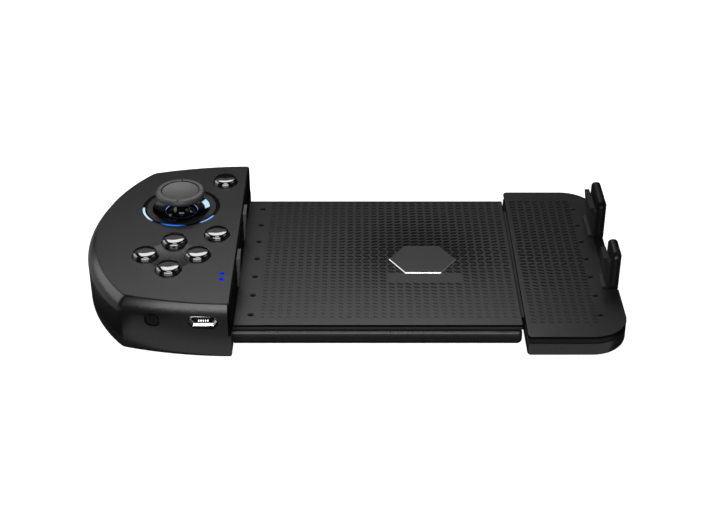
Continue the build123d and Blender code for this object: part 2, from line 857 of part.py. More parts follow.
stick_stem.part.label = "stick_stem"
export_step(stick_stem.part, "parts/stick_stem.step")

# The rubber cap with its dish and four grip notches
cap_dish_sphere = (cap_dish_radius**2 + cap_dish_depth**2) / (2 * cap_dish_depth)
with BuildPart() as stick_cap:
    with BuildSketch(Plane.XY.offset(cap_z)):
        with Locations(ring_place):
            Circle(cap_radius)
    extrude(amount=cap_thickness)
    fillet(stick_cap.edges().group_by(Axis.Z)[-1], radius=cap_top_round)
    fillet(stick_cap.edges().group_by(Axis.Z)[0], radius=cap_under_round)
    with Locations((*ring_place, stick_top - cap_dish_depth + cap_dish_sphere)):
        Sphere(cap_dish_sphere, mode=Mode.SUBTRACT)
    with BuildSketch(Plane.XY.offset(stick_top - cap_notch_depth)):
        with Locations(ring_place):
            with PolarLocations(cap_dish_radius - cap_notch_inset + cap_notch_length / 2, cap_notch_count):
                Rectangle(cap_notch_length, cap_notch_width)
    extrude(amount=cap_thickness, mode=Mode.SUBTRACT)
    with BuildSketch(Plane.XY.offset(cap_z)):
        with Locations(ring_place):
            Circle(stem_flare_radius + face_gap)
    extrude(amount=stem_disc_height + face_gap, mode=Mode.SUBTRACT)
stick_cap.part.label = "stick_cap"
export_step(stick_cap.part, "parts/stick_cap.step")

# The push buttons, each held under the face plate by its flange
for button_name, (button_x, button_y) in button_places.items():
    with BuildPart() as button:
        with BuildSketch(Plane.XY.offset(pod_top)):
            with Locations((button_x, button_y)):
                Circle(button_radius)
        extrude(amount=button_rise, taper=button_taper)
        fillet(button.edges().group_by(Axis.Z)[-1], radius=button_edge_radius)
        with BuildSketch(Plane.XY.offset(plate_under - face_gap)):
            with Locations((button_x, button_y)):
                Circle(button_radius)
        extrude(amount=pod_top - plate_under + face_gap)
        with BuildSketch(Plane.XY.offset(plate_under - face_gap)):
            with Locations((button_x, button_y)):
                Circle(button_flange_radius)
        extrude(amount=-button_flange)
        with BuildSketch(Plane.XY.offset(button_foot_z)):
            with Locations((button_x, button_y)):
                Circle(button_stem_radius)
        extrude(amount=plate_under - button_flange - button_foot_z)
    button.part.label = button_name
    export_step(button.part, f"parts/{button_name}.step")

# The rubber mat under the diamond and the extra button, one dome for each
mat_turn = math.degrees(math.atan2(extra_place[1] - diamond_place[1], extra_place[0] - diamond_place[0]))
mat_reach = math.hypot(extra_place[0] - diamond_place[0], extra_place[1] - diamond_place[1])
mat_middle = ((extra_place[0] + diamond_place[0]) / 2, (extra_place[1] + diamond_place[1]) / 2)
with BuildPart() as button_mat:
    with BuildSketch(Plane.XY.offset(board_top)):
        with Locations(diamond_place):
            Circle(diamond_radius + dome_radius + mat_margin)
        with Locations(extra_place):
            Circle(dome_radius + mat_margin)
        with Locations(Location((*mat_middle, 0), (0, 0, mat_turn))):
            Rectangle(mat_reach, 2 * dome_radius)
    extrude(amount=mat_thickness)
    with BuildSketch(Plane.XY.offset(board_top + mat_thickness)):
        with Locations(*diamond_places, extra_place):
            Circle(dome_radius)
    extrude(amount=dome_height)
button_mat.part.label = "button_mat"
export_step(button_mat.part, "parts/button_mat.step")

with BuildPart() as home_dome:
    with BuildSketch(Plane.XY.offset(board_top)):
        with Locations(home_place):
            Circle(dome_radius + mat_margin)
    extrude(amount=mat_thickness)
    with BuildSketch(Plane.XY.offset(board_top + mat_thickness)):
        with Locations(home_place):
            Circle(dome_radius)
    extrude(amount=dome_height)
home_dome.part.label = "home_dome"
export_step(home_dome.part, "parts/home_dome.step")

# The circuit board, cut away around the stick and the screw bosses
with BuildPart() as main_board:
    with BuildSketch(Plane.XY.offset(board_z)):
        add(pod_face(inner_half - board_edge_gap, inner_nose - board_edge_gap, wall_inner + board_edge_gap))
        with Locations(ring_place):
            Circle(stick_cutout_radius, mode=Mode.SUBTRACT)
        with Locations(*pod_boss_places):
            Circle(boss_radius + board_edge_gap, mode=Mode.SUBTRACT)
    extrude(amount=board_thickness)
main_board.part.label = "main_board"
export_step(main_board.part, "parts/main_board.step")

with BuildPart() as battery:
    with BuildSketch(Plane.XY.offset(cover_inside)):
        with Locations(battery_place):
            RectangleRounded(battery_length, battery_width, battery_corner)
    extrude(amount=battery_height)
battery.part.label = "battery"
export_step(battery.part, "parts/battery.step")

# Two status lights on the board, and the clear pipes that carry them to the face
with BuildPart() as status_lights:
    with BuildSketch(Plane.XY.offset(board_top)):
        for light_y in light_ys:
            with Locations((light_x, light_y)):
                Rectangle(light_length, light_width)
    extrude(amount=light_chip_height)
status_lights.part.label = "status_lights"
export_step(status_lights.part, "parts/status_lights.step")

with BuildPart() as light_pipes:
    with BuildSketch(Plane.XY.offset(board_top + light_chip_height + light_pipe_gap)):
        for light_y in light_ys:
            with Locations((light_x, light_y)):
                Rectangle(light_length, light_width)
    extrude(amount=pod_top - board_top - light_chip_height - light_pipe_gap)
light_pipes.part.label = "light_pipes"
export_step(light_pipes.part, "parts/light_pipes.step")

# The charging port: a folded shell and the tongue that carries its contacts
with BuildPart() as port_shell:
    with BuildSketch(Plane.XZ.offset(-port_inner_y)):
        with Locations((port_x, port_shell_z)):
            add(port_outline(0))
            add(port_outline(-port_shell_wall), mode=Mode.SUBTRACT)
    extrude(amount=-port_shell_length)
port_shell.part.label = "port_shell"
export_step(port_shell.part, "parts/port_shell.step")

with BuildPart() as port_tongue:
    with BuildSketch(Plane.XZ.offset(-port_inner_y - port_shell_length)):
        with Locations((port_x, port_shell_z)):
            add(port_outline(-port_shell_wall - port_tongue_gap))
    extrude(amount=port_back)
    with BuildSketch(Plane.XZ.offset(-port_inner_y - port_shell_length)):
        with Locations((port_x, port_shell_z + port_tongue_rise)):
            Rectangle(port_tongue_width, port_tongue_thickness)
    extrude(amount=port_shell_length - port_tongue_gap)
port_tongue.part.label = "port_tongue"
export_step(port_tongue.part, "parts/port_tongue.step")

# The ridged knob of the slide switch, its stem through the side, and the switch behind it
knob_back = switch_recess_depth - face_gap
with BuildPart() as switch_knob:
    with BuildSketch(switch_plane.offset(-knob_back)):
        RectangleRounded(switch_knob_length, switch_knob_height, switch_knob_radius)
    extrude(amount=knob_back - switch_knob_sunk)
    with BuildSketch(switch_plane.offset(-switch_knob_sunk - switch_ridge_depth)):
        with GridLocations(switch_ridge_pitch, 0, switch_ridge_count - 1, 1):
            Rectangle(switch_ridge_width, switch_knob_height - 2 * switch_ridge_width)
    extrude(amount=switch_ridge_depth + overrun, mode=Mode.SUBTRACT)
    with BuildSketch(switch_plane.offset(-knob_back)):
        Rectangle(switch_stem_length, switch_stem_height)
    extrude(amount=-switch_stem_reach)
switch_knob.part.label = "switch_knob"
export_step(switch_knob.part, "parts/switch_knob.step")

switch_front = knob_back + switch_stem_reach - switch_stem_grip
switch_body_rise = board_top + face_gap + switch_body_height / 2 - switch_z
with BuildPart() as switch_base:
    with BuildSketch(switch_plane.offset(-switch_front)):
        with Locations((0, switch_body_rise)):
            Rectangle(switch_body_length, switch_body_height)
    extrude(amount=-switch_body_depth)
    with BuildSketch(switch_plane.offset(-switch_front)):
        Rectangle(switch_stem_length + switch_travel + 2 * key_gap, switch_stem_height + 2 * key_gap)
    extrude(amount=-switch_stem_grip - key_gap, mode=Mode.SUBTRACT)
switch_base.part.label = "switch_base"
export_step(switch_base.part, "parts/switch_base.step")

# The two shoulder keys, each held inside the frame by a flange at both ends
keys = {
    "bumper_key": (bumper_bottom, bumper_top, bumper_proud),
    "trigger_key": (trigger_bottom, trigger_top, trigger_proud),
}
for key_name, (key_bottom, key_top, key_proud) in keys.items():
    with BuildPart() as key:
        with BuildSketch(Plane.XY.offset(key_bottom)):
            add(side_strip(key_proud, key_depth, key_left, key_right))
        extrude(amount=key_top - key_bottom)
        fillet(key.edges().filter_by(Axis.Z).group_by(Axis.Y)[-1], radius=key_edge_radius)
        with BuildSketch(Plane.XY.offset(key_bottom)):
            add(
                side_strip(
                    -key_flange_inset,
                    key_flange_inset + key_flange_depth,
                    key_left + key_flange_overlap,
                    key_right - key_flange_overlap,
                )
            )
        extrude(amount=key_top - key_bottom)
    key.part.label = key_name
    export_step(key.part, f"parts/{key_name}.step")

# The small switches behind the keys: one on the board, one under it
key_middle = (key_left + key_right) / 2
flange_y = side_y(key_middle + key_switch_length / 2) - key_flange_inset - key_flange_depth
bumper_switch_y = flange_y - bumper_travel - key_switch_gap - key_switch_depth / 2
trigger_switch_y = flange_y - trigger_travel - key_switch_gap - key_switch_depth / 2
with BuildPart() as key_switches:
    with BuildSketch(Plane.XY.offset(board_top)):
        with Locations((wall_x - key_middle, bumper_switch_y)):
            Rectangle(key_switch_length, key_switch_depth)
    extrude(amount=key_switch_height)
    with BuildSketch(Plane.XY.offset(board_z)):
        with Locations((wall_x - key_middle, trigger_switch_y)):
            Rectangle(key_switch_length, key_switch_depth)
    extrude(amount=-key_switch_height)
key_switches.part.label = "key_switches"
export_step(key_switches.part, "parts/key_switches.step")

# Screws that close the grip, and screws that hold the bed's flange
def cross_screws(places, head_z, length):
    """Screws that point up, with their heads below head_z and a cross cut in each head."""
    with BuildPart() as screws:
        with BuildSketch(Plane.XY.offset(head_z)):
            with Locations(*places):
                Circle(screw_head_radius)
        extrude(amount=-screw_head_height)
        with BuildSketch(Plane.XY.offset(head_z)):
            with Locations(*places):
                Circle(screw_radius)
        extrude(amount=length)
        with BuildSketch(Plane.XY.offset(head_z - screw_head_height)):
            with Locations(*places):
                Rectangle(screw_slot_length, screw_slot_width)
                Rectangle(screw_slot_width, screw_slot_length)
        extrude(amount=screw_slot_depth, mode=Mode.SUBTRACT)
    return screws.part


with BuildPart() as pod_screws:
    add(cross_screws(pod_boss_places, pod_head_z, pod_screw_length))
pod_screws.part.label = "pod_screws"
export_step(pod_screws.part, "parts/pod_screws.step")

with BuildPart() as flange_screws:
    add(cross_screws(flange_screw_places, pod_head_z, flange_z + flange_thickness - pod_head_z))
flange_screws.part.label = "flange_screws"
export_step(flange_screws.part, "parts/flange_screws.step")

# Rubber feet of the grip and the one under the bed's middle
with BuildPart() as rubber_feet:
    with BuildSketch():
        with Locations(*pod_foot_places):
            Circle(foot_radius)
    extrude(amount=cover_floor + foot_recess)
    with BuildSketch():
        with Locations(bed_foot_place):
            Circle(foot_radius)
    extrude(amount=bed_bottom + foot_recess)
    chamfer(rubber_feet.edges().group_by(Axis.Z)[0], length=foot_chamfer)
rubber_feet.part.label = "rubber_feet"
export_step(rubber_feet.part, "parts/rubber_feet.step")

# The bed's tray: a wide body below, a groove above it, and a flange that enters the grip
bed_middle_x = (wall_x + bed_end_x) / 2
with BuildPart() as bed_tray:
    with BuildSketch(Plane.XY.offset(bed_bottom)):
        with Locations((bed_middle_x, 0)):
            Rectangle(bed_length, bed_width)
    extrude(amount=bed_body_top - bed_bottom)
    fillet(bed_tray.edges().filter_by(Axis.Z).group_by(Axis.X)[-1], radius=bed_end_radius)
    fillet(bed_tray.edges().group_by(Axis.Z)[0].sort_by(Axis.X)[1:], radius=bed_edge_radius)
    fillet(bed_tray.edges().group_by(Axis.Z)[-1].filter_by(Axis.X), radius=bed_shoulder_radius)
    with BuildSketch(Plane.XY.offset(bed_body_top)):
        with Locations((bed_middle_x, 0)):
            Rectangle(bed_length, bed_width - 2 * bed_groove_depth)
    extrude(amount=skin_under - bed_body_top)
    with BuildSketch(Plane.XY.offset(bed_bottom + bed_floor)):
        with Locations((bed_middle_x + bed_wall, 0)):
            Rectangle(bed_length, 2 * cavity_half)
    extrude(amount=bed_top, mode=Mode.SUBTRACT)
    with BuildSketch(Plane.XY.offset(flange_z)):
        with Locations((wall_x - (flange_length - overrun) / 2, 0)):
            Rectangle(flange_length + overrun, 2 * flange_half)
    extrude(amount=flange_thickness)
    with BuildSketch(Plane.XY.offset(bed_bottom)):
        with Locations(*flange_screw_places):
            Circle(screw_radius + screw_gap)
    extrude(amount=bed_top, mode=Mode.SUBTRACT)
    with BuildSketch(Plane.XY.offset(bed_bottom)):
        with Locations(bed_foot_place):
            Circle(foot_radius + screw_gap)
    extrude(amount=foot_recess, mode=Mode.SUBTRACT)
    with BuildSketch(Plane.XY.offset(bed_bottom + bed_floor)):
        with Locations(*[(spring_post_x, spring_y) for spring_y in spring_ys]):
            Circle(spring_post_radius)
    extrude(amount=spring_post_height)
bed_tray.part.label = "bed_tray"
export_step(bed_tray.part, "parts/bed_tray.step")

# The bed's top skin, with a hole for each nub
with BuildPart() as bed_skin:
    with BuildSketch(Plane.XY.offset(skin_under)):
        with Locations((bed_middle_x, 0)):
            Rectangle(bed_length, bed_width)
        with Locations(*[(bed_nub_x, nub_y) for nub_y in nub_ys]):
            Circle(nub_stem_radius + face_gap, mode=Mode.SUBTRACT)
    extrude(amount=skin_thickness)
    skin_top_edges = bed_skin.edges().group_by(Axis.Z)[-1]
    fillet(skin_top_edges.filter_by(GeomType.LINE).sort_by(Axis.X)[1:], radius=skin_edge_radius)
bed_skin.part.label = "bed_skin"
export_step(bed_skin.part, "parts/bed_skin.step")

for nubs_name, nub_x in (("bed_nubs", bed_nub_x), ("end_nubs", end_nub_x)):
    with BuildPart() as nubs:
        with Locations(*[(nub_x, nub_y, bed_top + nub_rise - nub_sphere_radius) for nub_y in nub_ys]):
            Sphere(nub_sphere_radius)
        with BuildSketch(Plane.XY.offset(bed_top)):
            with Locations((nub_x, 0)):
                Rectangle(nub_count * nub_pitch, nub_count * nub_pitch)
        extrude(amount=-2 * nub_sphere_radius, mode=Mode.SUBTRACT)
        with BuildSketch(Plane.XY.offset(skin_under)):
            with Locations(*[(nub_x, nub_y) for nub_y in nub_ys]):
                Circle(nub_stem_radius)
        extrude(amount=skin_thickness)
    nubs.part.label = nubs_name
    export_step(nubs.part, f"parts/{nubs_name}.step")

# The blank six-sided plate in the middle of the bed
with BuildPart() as badge_plate:
    with BuildSketch(Plane.XY.offset(bed_top)):
        with Locations((badge_x, -badge_forward)):
            Polygon(
                (-badge_half_length, 0),
                (-badge_half_edge, -badge_half_width),
                (badge_half_edge, -badge_half_width),
                (badge_half_length, 0),
                (badge_half_edge, badge_half_width),
                (-badge_half_edge, badge_half_width),
            )
    extrude(amount=badge_rise)
    chamfer(badge_plate.edges().group_by(Axis.Z)[-1], length=badge_chamfer)
badge_plate.part.label = "badge_plate"
export_step(badge_plate.part, "parts/badge_plate.step")

# Two guide rails along the bed's inner walls, with the groove that the slide's edges run in
slide_middle_z = (slide_top + slide_bottom) / 2
rail_length = bed_length - bed_wall - 2 * rail_end_gap
rail_height = skin_under - bed_bottom - bed_floor - face_gap
rail_middle_x = bed_end_x - rail_end_gap - rail_length / 2
with BuildPart() as guide_rails:
    for side in (1, -1):
        with BuildSketch(Plane.XY.offset(bed_bottom + bed_floor)):
            with Locations((rail_middle_x, side * (rail_inner + rail_width / 2))):
                Rectangle(rail_length, rail_width - face_gap)
        extrude(amount=rail_height)
        with BuildSketch(Plane.XY.offset(slide_middle_z - rail_groove_height / 2)):
            with Locations((bed_middle_x, side * rail_inner)):
                Rectangle(bed_length + overrun, 2 * rail_groove_depth)
        extrude(amount=rail_groove_height, mode=Mode.SUBTRACT)
guide_rails.part.label = "guide_rails"
export_step(guide_rails.part, "parts/guide_rails.step")

# The slide that carries the end piece, hollowed into channels from below
slide_right_x = end_x + slide_in_end
slide_length = slide_right_x - slide_left_x
channel_left_x = slide_left_x + slide_end_rib
channel_right_x = end_x - slide_end_rib
spring_far_x = channel_right_x - spring_post_radius - slide_end_rib
with BuildPart() as slide_plate:
    with BuildSketch(Plane.XY.offset(slide_bottom)):
        with Locations((slide_left_x + slide_length / 2, 0)):
            Rectangle(slide_length, 2 * slide_half)
    extrude(amount=slide_top - slide_bottom)
    with BuildSketch(Plane.XY.offset(slide_middle_z - rail_groove_height / 2 + rail_gap)):
        with Locations((slide_left_x + slide_length / 2, 0)):
            Rectangle(slide_length, 2 * (slide_half + rail_groove_depth))
    extrude(amount=rail_groove_height - 2 * rail_gap)
    with BuildSketch(Plane.XY.offset(slide_bottom)):
        with Locations(((channel_left_x + channel_right_x) / 2, 0)):
            with GridLocations(0, channel_width + slide_rib, 1, slide_channels):
                Rectangle(channel_right_x - channel_left_x, channel_width)
        with Locations(*[(slide_left_x, spring_y) for spring_y in spring_ys]):
            Rectangle(2 * slide_end_rib + overrun, 2 * (spring_radius + slide_floor_gap))
    extrude(amount=slide_top - slide_skin - slide_bottom, mode=Mode.SUBTRACT)
    with BuildSketch(Plane.XY.offset(slide_top - slide_skin)):
        with Locations(*[(spring_far_x, spring_y) for spring_y in spring_ys]):
            Circle(spring_post_radius)
    extrude(amount=-spring_far_post_height)
    with BuildSketch(Plane.XY.offset(slide_bottom)):
        with Locations(*end_screw_places):
            Circle(screw_radius + screw_gap)
    extrude(amount=end_screw_length, mode=Mode.SUBTRACT)
slide_plate.part.label = "slide_plate"
export_step(slide_plate.part, "parts/slide_plate.step")

# The two springs that pull the end piece in, drawn as their outside tubes at their shortest
spring_z = bed_bottom + bed_floor + spring_floor_gap + spring_radius
spring_start_x = spring_post_x + spring_post_radius + spring_hook_gap
spring_length = spring_far_x - spring_post_radius - spring_hook_gap - spring_start_x
with BuildPart() as return_springs:
    with BuildSketch(Plane.YZ.offset(spring_start_x)):
        with Locations(*[(spring_y, spring_z) for spring_y in spring_ys]):
            Circle(spring_radius)
            Circle(spring_radius - spring_wall, mode=Mode.SUBTRACT)
    extrude(amount=spring_length)
return_springs.part.label = "return_springs"
export_step(return_springs.part, "parts/return_springs.step")


def end_face(inset):
    """The end piece's outline: nearly square at the bed, rounded at the claws."""
    with BuildSketch() as face:
        with Locations((end_x + end_length / 2, 0)):
            Rectangle(end_length - 2 * inset, end_width - 2 * inset)
        fillet(face.vertices().group_by(Axis.X)[-1], radius=end_corner_radius - inset)
        fillet(face.vertices().group_by(Axis.X)[0], radius=end_near_radius)
    return face.sketch


# The end piece: a tray, a band on it and a skin on top
slide_slot_half = slide_half + rail_groove_depth + slide_slot_gap
with BuildPart() as end_tray:
    with BuildSketch(Plane.XY.offset(end_bottom)):
        add(end_face(0))
    extrude(amount=bed_body_top - end_bottom)
    fillet(end_tray.edges().group_by(Axis.Z)[0], radius=end_near_radius - face_gap)
    with BuildSketch(Plane.XY.offset(end_bottom + end_floor)):
        add(end_face(end_wall))
        with Locations((end_x, 0)):
            Rectangle(2 * end_wall + overrun, 2 * slide_slot_half)
    extrude(amount=bed_top, mode=Mode.SUBTRACT)
    with BuildSketch(Plane.XY.offset(end_bottom)):
        with Locations(*end_screw_places):
            Circle(screw_radius + screw_gap)
    extrude(amount=end_floor, mode=Mode.SUBTRACT)
    with BuildSketch(Plane.XY.offset(end_bottom)):
        with Locations(*end_screw_places):
            Circle(screw_head_radius + screw_gap)
    extrude(amount=screw_head_recess, mode=Mode.SUBTRACT)
    with BuildSketch(Plane.XY.offset(end_bottom)):
        with Locations(*end_foot_places):
            Circle(foot_radius + screw_gap)
    extrude(amount=foot_recess, mode=Mode.SUBTRACT)
end_tray.part.label = "end_tray"
export_step(end_tray.part, "parts/end_tray.step")

claw_left_x = right_x - claw_edge_gap - claw_thickness
claw_low_y = claw_ys["front"][0] - claw_strip_margin
claw_high_y = claw_ys["rear"][1] + claw_strip_margin
claw_middle_y = (claw_low_y + claw_high_y) / 2
claw_strip_x = right_x - claw_strip_width
claw_strip_top = bed_top - claw_strip_drop
claw_strip_bottom = claw_strip_top - claw_strip_depth
with BuildPart() as end_band:
    with BuildSketch(Plane.XY.offset(bed_body_top)):
        add(end_face(end_band_inset))
        add(end_face(end_wall), mode=Mode.SUBTRACT)
        with Locations((end_x, 0)):
            Rectangle(2 * end_wall + overrun, 2 * slide_slot_half, mode=Mode.SUBTRACT)
    extrude(amount=skin_under - bed_body_top)
    with BuildSketch(Plane.XY.offset(claw_strip_bottom)):
        with Locations((right_x, claw_middle_y)):
            Rectangle(2 * claw_strip_width, claw_high_y - claw_low_y)
    extrude(amount=bed_top, mode=Mode.SUBTRACT)
end_band.part.label = "end_band"
export_step(end_band.part, "parts/end_band.step")

with BuildPart() as end_skin:
    with BuildSketch(Plane.XY.offset(skin_under)):
        add(end_face(0))
    extrude(amount=skin_thickness)
    fillet(end_skin.edges().group_by(Axis.Z)[-1], radius=skin_edge_radius)
    with BuildSketch(Plane.XY.offset(skin_under)):
        with Locations((right_x, claw_middle_y)):
            Rectangle(2 * claw_strip_width, claw_high_y - claw_low_y)
        with Locations(*[(end_nub_x, nub_y) for nub_y in nub_ys]):
            Circle(nub_stem_radius + face_gap)
    extrude(amount=bed_top, mode=Mode.SUBTRACT)
end_skin.part.label = "end_skin"
export_step(end_skin.part, "parts/end_skin.step")

with BuildPart() as end_screws:
    add(cross_screws(end_screw_places, end_bottom + screw_head_recess, end_screw_length))
end_screws.part.label = "end_screws"
export_step(end_screws.part, "parts/end_screws.step")

with BuildPart() as end_feet:
    with BuildSketch():
        with Locations(*end_foot_places):
            Circle(foot_radius)
    extrude(amount=end_bottom + foot_recess)
    chamfer(end_feet.edges().group_by(Axis.Z)[0], length=foot_chamfer)
end_feet.part.label = "end_feet"
export_step(end_feet.part, "parts/end_feet.step")

# The strip that both claws stand on
with BuildPart() as claw_strip:
    with BuildSketch(Plane.XY.offset(claw_strip_bottom)):
        with Locations((claw_strip_x + (claw_strip_width - end_band_inset) / 2, claw_middle_y)):
            Rectangle(
                claw_strip_width - end_band_inset - 2 * face_gap,
                claw_high_y - claw_low_y - 2 * face_gap,
            )
    extrude(amount=claw_strip_depth)
claw_strip.part.label = "claw_strip"
export_step(claw_strip.part, "parts/claw_strip.step")

# Each claw: a frame, the core that shows inside it, and a rubber pad that hooks over the phone
core_bottom = claw_strip_top + claw_core_bottom_gap
core_top = claw_top - claw_core_top_gap
core_x = claw_left_x + claw_thickness / 2
pin_z = claw_top - claw_pin_drop
for side, (low_y, high_y) in claw_ys.items():
    claw_length = high_y - low_y
    middle_y = (low_y + high_y) / 2
    with BuildPart() as claw_frame:
        with BuildSketch(Plane.XY.offset(claw_strip_top)):
            with Locations((core_x, middle_y)):
                Rectangle(claw_thickness, claw_length)
        extrude(amount=claw_top - claw_strip_top)
        fillet(claw_frame.edges().group_by(Axis.Z)[-1].filter_by(Axis.Y), radius=claw_round)
        with BuildSketch(Plane.XZ.offset(-high_y - overrun)):
            with Locations((core_x, (core_bottom + core_top) / 2)):
                Rectangle(claw_core_thickness, core_top - core_bottom)
        extrude(amount=claw_length + 2 * overrun, mode=Mode.SUBTRACT)
    claw_frame.part.label = f"claw_frame_{side}"
    export_step(claw_frame.part, f"parts/claw_frame_{side}.step")

    with BuildPart() as claw_core:
        with BuildSketch(Plane.XZ.offset(-high_y + claw_core_setback)):
            with Locations((core_x, (core_bottom + core_top) / 2)):
                Rectangle(claw_core_thickness - 2 * face_gap, core_top - core_bottom - 2 * face_gap)
            with Locations((core_x, pin_z)):
                Circle(claw_pin_radius + face_gap, mode=Mode.SUBTRACT)
        extrude(amount=claw_length - 2 * claw_core_setback)
    claw_core.part.label = f"claw_core_{side}"
    export_step(claw_core.part, f"parts/claw_core_{side}.step")

    with BuildPart() as claw_pad:
        with BuildSketch(Plane.XZ.offset(-high_y + claw_pad_inset)):
            with BuildLine():
                Polyline(
                    (claw_left_x, bed_top),
                    (claw_left_x, claw_pad_top - claw_pad_step),
                    (claw_left_x - claw_pad_back, claw_pad_top - claw_pad_step),
                    (claw_left_x - claw_pad_back, claw_pad_top),
                    (claw_left_x - claw_pad_reach, claw_pad_top),
                    (claw_left_x - claw_pad_web, bed_top + 2 * claw_pad_foot_height),
                    (claw_left_x - claw_pad_foot, bed_top + claw_pad_foot_height),
                    (claw_left_x - claw_pad_foot, bed_top),
                    close=True,
                )
            make_face()
        extrude(amount=claw_length - claw_pad_inset)
    claw_pad.part.label = f"claw_pad_{side}"
    export_step(claw_pad.part, f"parts/claw_pad_{side}.step")

with BuildPart() as claw_pins:
    for low_y, high_y in claw_ys.values():
        pin_start = high_y - claw_core_setback + claw_pin_proud
        pin_length = high_y - low_y - 2 * claw_core_setback + 2 * claw_pin_proud
        with BuildSketch(Plane.XZ.offset(-pin_start)):
            with Locations((core_x, pin_z)):
                Circle(claw_pin_radius)
        extrude(amount=pin_length)
claw_pins.part.label = "claw_pins"
export_step(claw_pins.part, "parts/claw_pins.step")

print("overall size", overall_length, pod_width, stick_top)
print("wall face at", wall_x, "end piece from", end_x, "to", right_x)
print("slide left in the bed at full reach", bed_length - slide_left_gap - end_travel)
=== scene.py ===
"""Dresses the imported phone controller: smooth moulded shells, turned stick and buttons,
the relief of small triangles on the bed, lit parts, studio light and camera."""

import json
import math

import bmesh
import bpy
from mathutils import Matrix, Vector


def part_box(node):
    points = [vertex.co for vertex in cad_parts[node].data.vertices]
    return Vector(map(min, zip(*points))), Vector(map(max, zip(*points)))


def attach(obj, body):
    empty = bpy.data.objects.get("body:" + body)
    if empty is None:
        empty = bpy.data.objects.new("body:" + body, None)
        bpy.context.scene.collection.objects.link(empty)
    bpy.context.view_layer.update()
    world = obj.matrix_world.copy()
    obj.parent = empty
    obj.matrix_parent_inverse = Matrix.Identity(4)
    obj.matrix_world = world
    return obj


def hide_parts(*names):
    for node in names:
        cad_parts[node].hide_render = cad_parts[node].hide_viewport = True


bl_info = {
    "name": "Phone controller dressing",
    "version": (1, 0, 0),
    "blender": (4, 5, 0),
    "location": "3D View > Sidebar > Controller",
    "description": "Dresses the packed controller with moulded, turned and lit pieces",
    "category": "Object",
}

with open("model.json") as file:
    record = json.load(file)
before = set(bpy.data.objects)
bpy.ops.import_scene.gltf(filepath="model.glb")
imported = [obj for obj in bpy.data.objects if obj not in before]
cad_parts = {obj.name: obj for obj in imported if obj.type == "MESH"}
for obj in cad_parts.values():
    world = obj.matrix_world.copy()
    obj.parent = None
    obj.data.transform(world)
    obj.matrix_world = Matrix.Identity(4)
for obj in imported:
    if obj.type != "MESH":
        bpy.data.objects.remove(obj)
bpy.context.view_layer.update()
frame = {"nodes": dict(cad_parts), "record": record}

MM = 0.001
RING_LOW, RING_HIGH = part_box("ring_light")
RING_X = (RING_LOW.x + RING_HIGH.x) / 2
RING_Y = (RING_LOW.y + RING_HIGH.y) / 2
RING_CENTRE = Vector((RING_X, RING_Y, 0))
PLATE_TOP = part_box("face_plate")[1].z
# The ring, the bowl and the buttons step out under the face plate at this height
UNDER_PLATE = PLATE_TOP - 1.45 * MM
BED_LOW, BED_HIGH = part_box("bed_skin")
WALL_X = BED_LOW.x
END_LOW, END_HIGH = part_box("end_skin")
NUB_PITCH = 11.4 * MM
RING_INNER = 12.1 * MM
WELL_RIM = 9.9 * MM
WELL_HOLE = 5.4 * MM
STEM_FLARE = 5.2 * MM
SEAM = 0.05 * MM
BUTTONS = (
    "face_button_1", "face_button_2", "face_button_3", "face_button_4", "extra_button",
    "home_button",
)


# ------------------------------------------------------------------ finishes


# The controller's own materials, each under its finish's name
FINISHES = {}


class Wire:
    """A node's output. An expression on it adds a Math node, or Vector Math for vectors."""

    def __init__(self, finish, socket):
        self.finish = finish
        self.socket = socket

    def join(self, operation, *others):
        terms = (self, *others)
        kind = "ShaderNodeMath"
        if any(isinstance(t, Wire) and t.socket.type in ("VECTOR", "RGBA") for t in terms):
            kind = "ShaderNodeVectorMath"
            terms = [t if isinstance(t, (Wire, tuple)) else (t, t, t) for t in terms]
        return self.finish.node(kind, {"operation": operation}, dict(enumerate(terms)))

    def __add__(self, other):
        return self.join("ADD", other)

    def __mul__(self, other):
        return self.join("MULTIPLY", other)

    def __sub__(self, other):
        return self.join("SUBTRACT", other)

    def __rsub__(self, other):
        terms = {0: other, 1: self}
        return self.finish.node("ShaderNodeMath", {"operation": "SUBTRACT"}, terms)

    def __truediv__(self, other):
        return self.join("DIVIDE", other)

    def __pow__(self, other):
        return self.join("POWER", other)

    def clamped(self, low, high):
        """Runs from 0 at low to 1 at high, with soft ends."""
        return self.finish.node(
            "ShaderNodeMapRange",
            {"interpolation_type": "SMOOTHSTEP"},
            {"Value": self, "From Min": low, "From Max": high},
        )


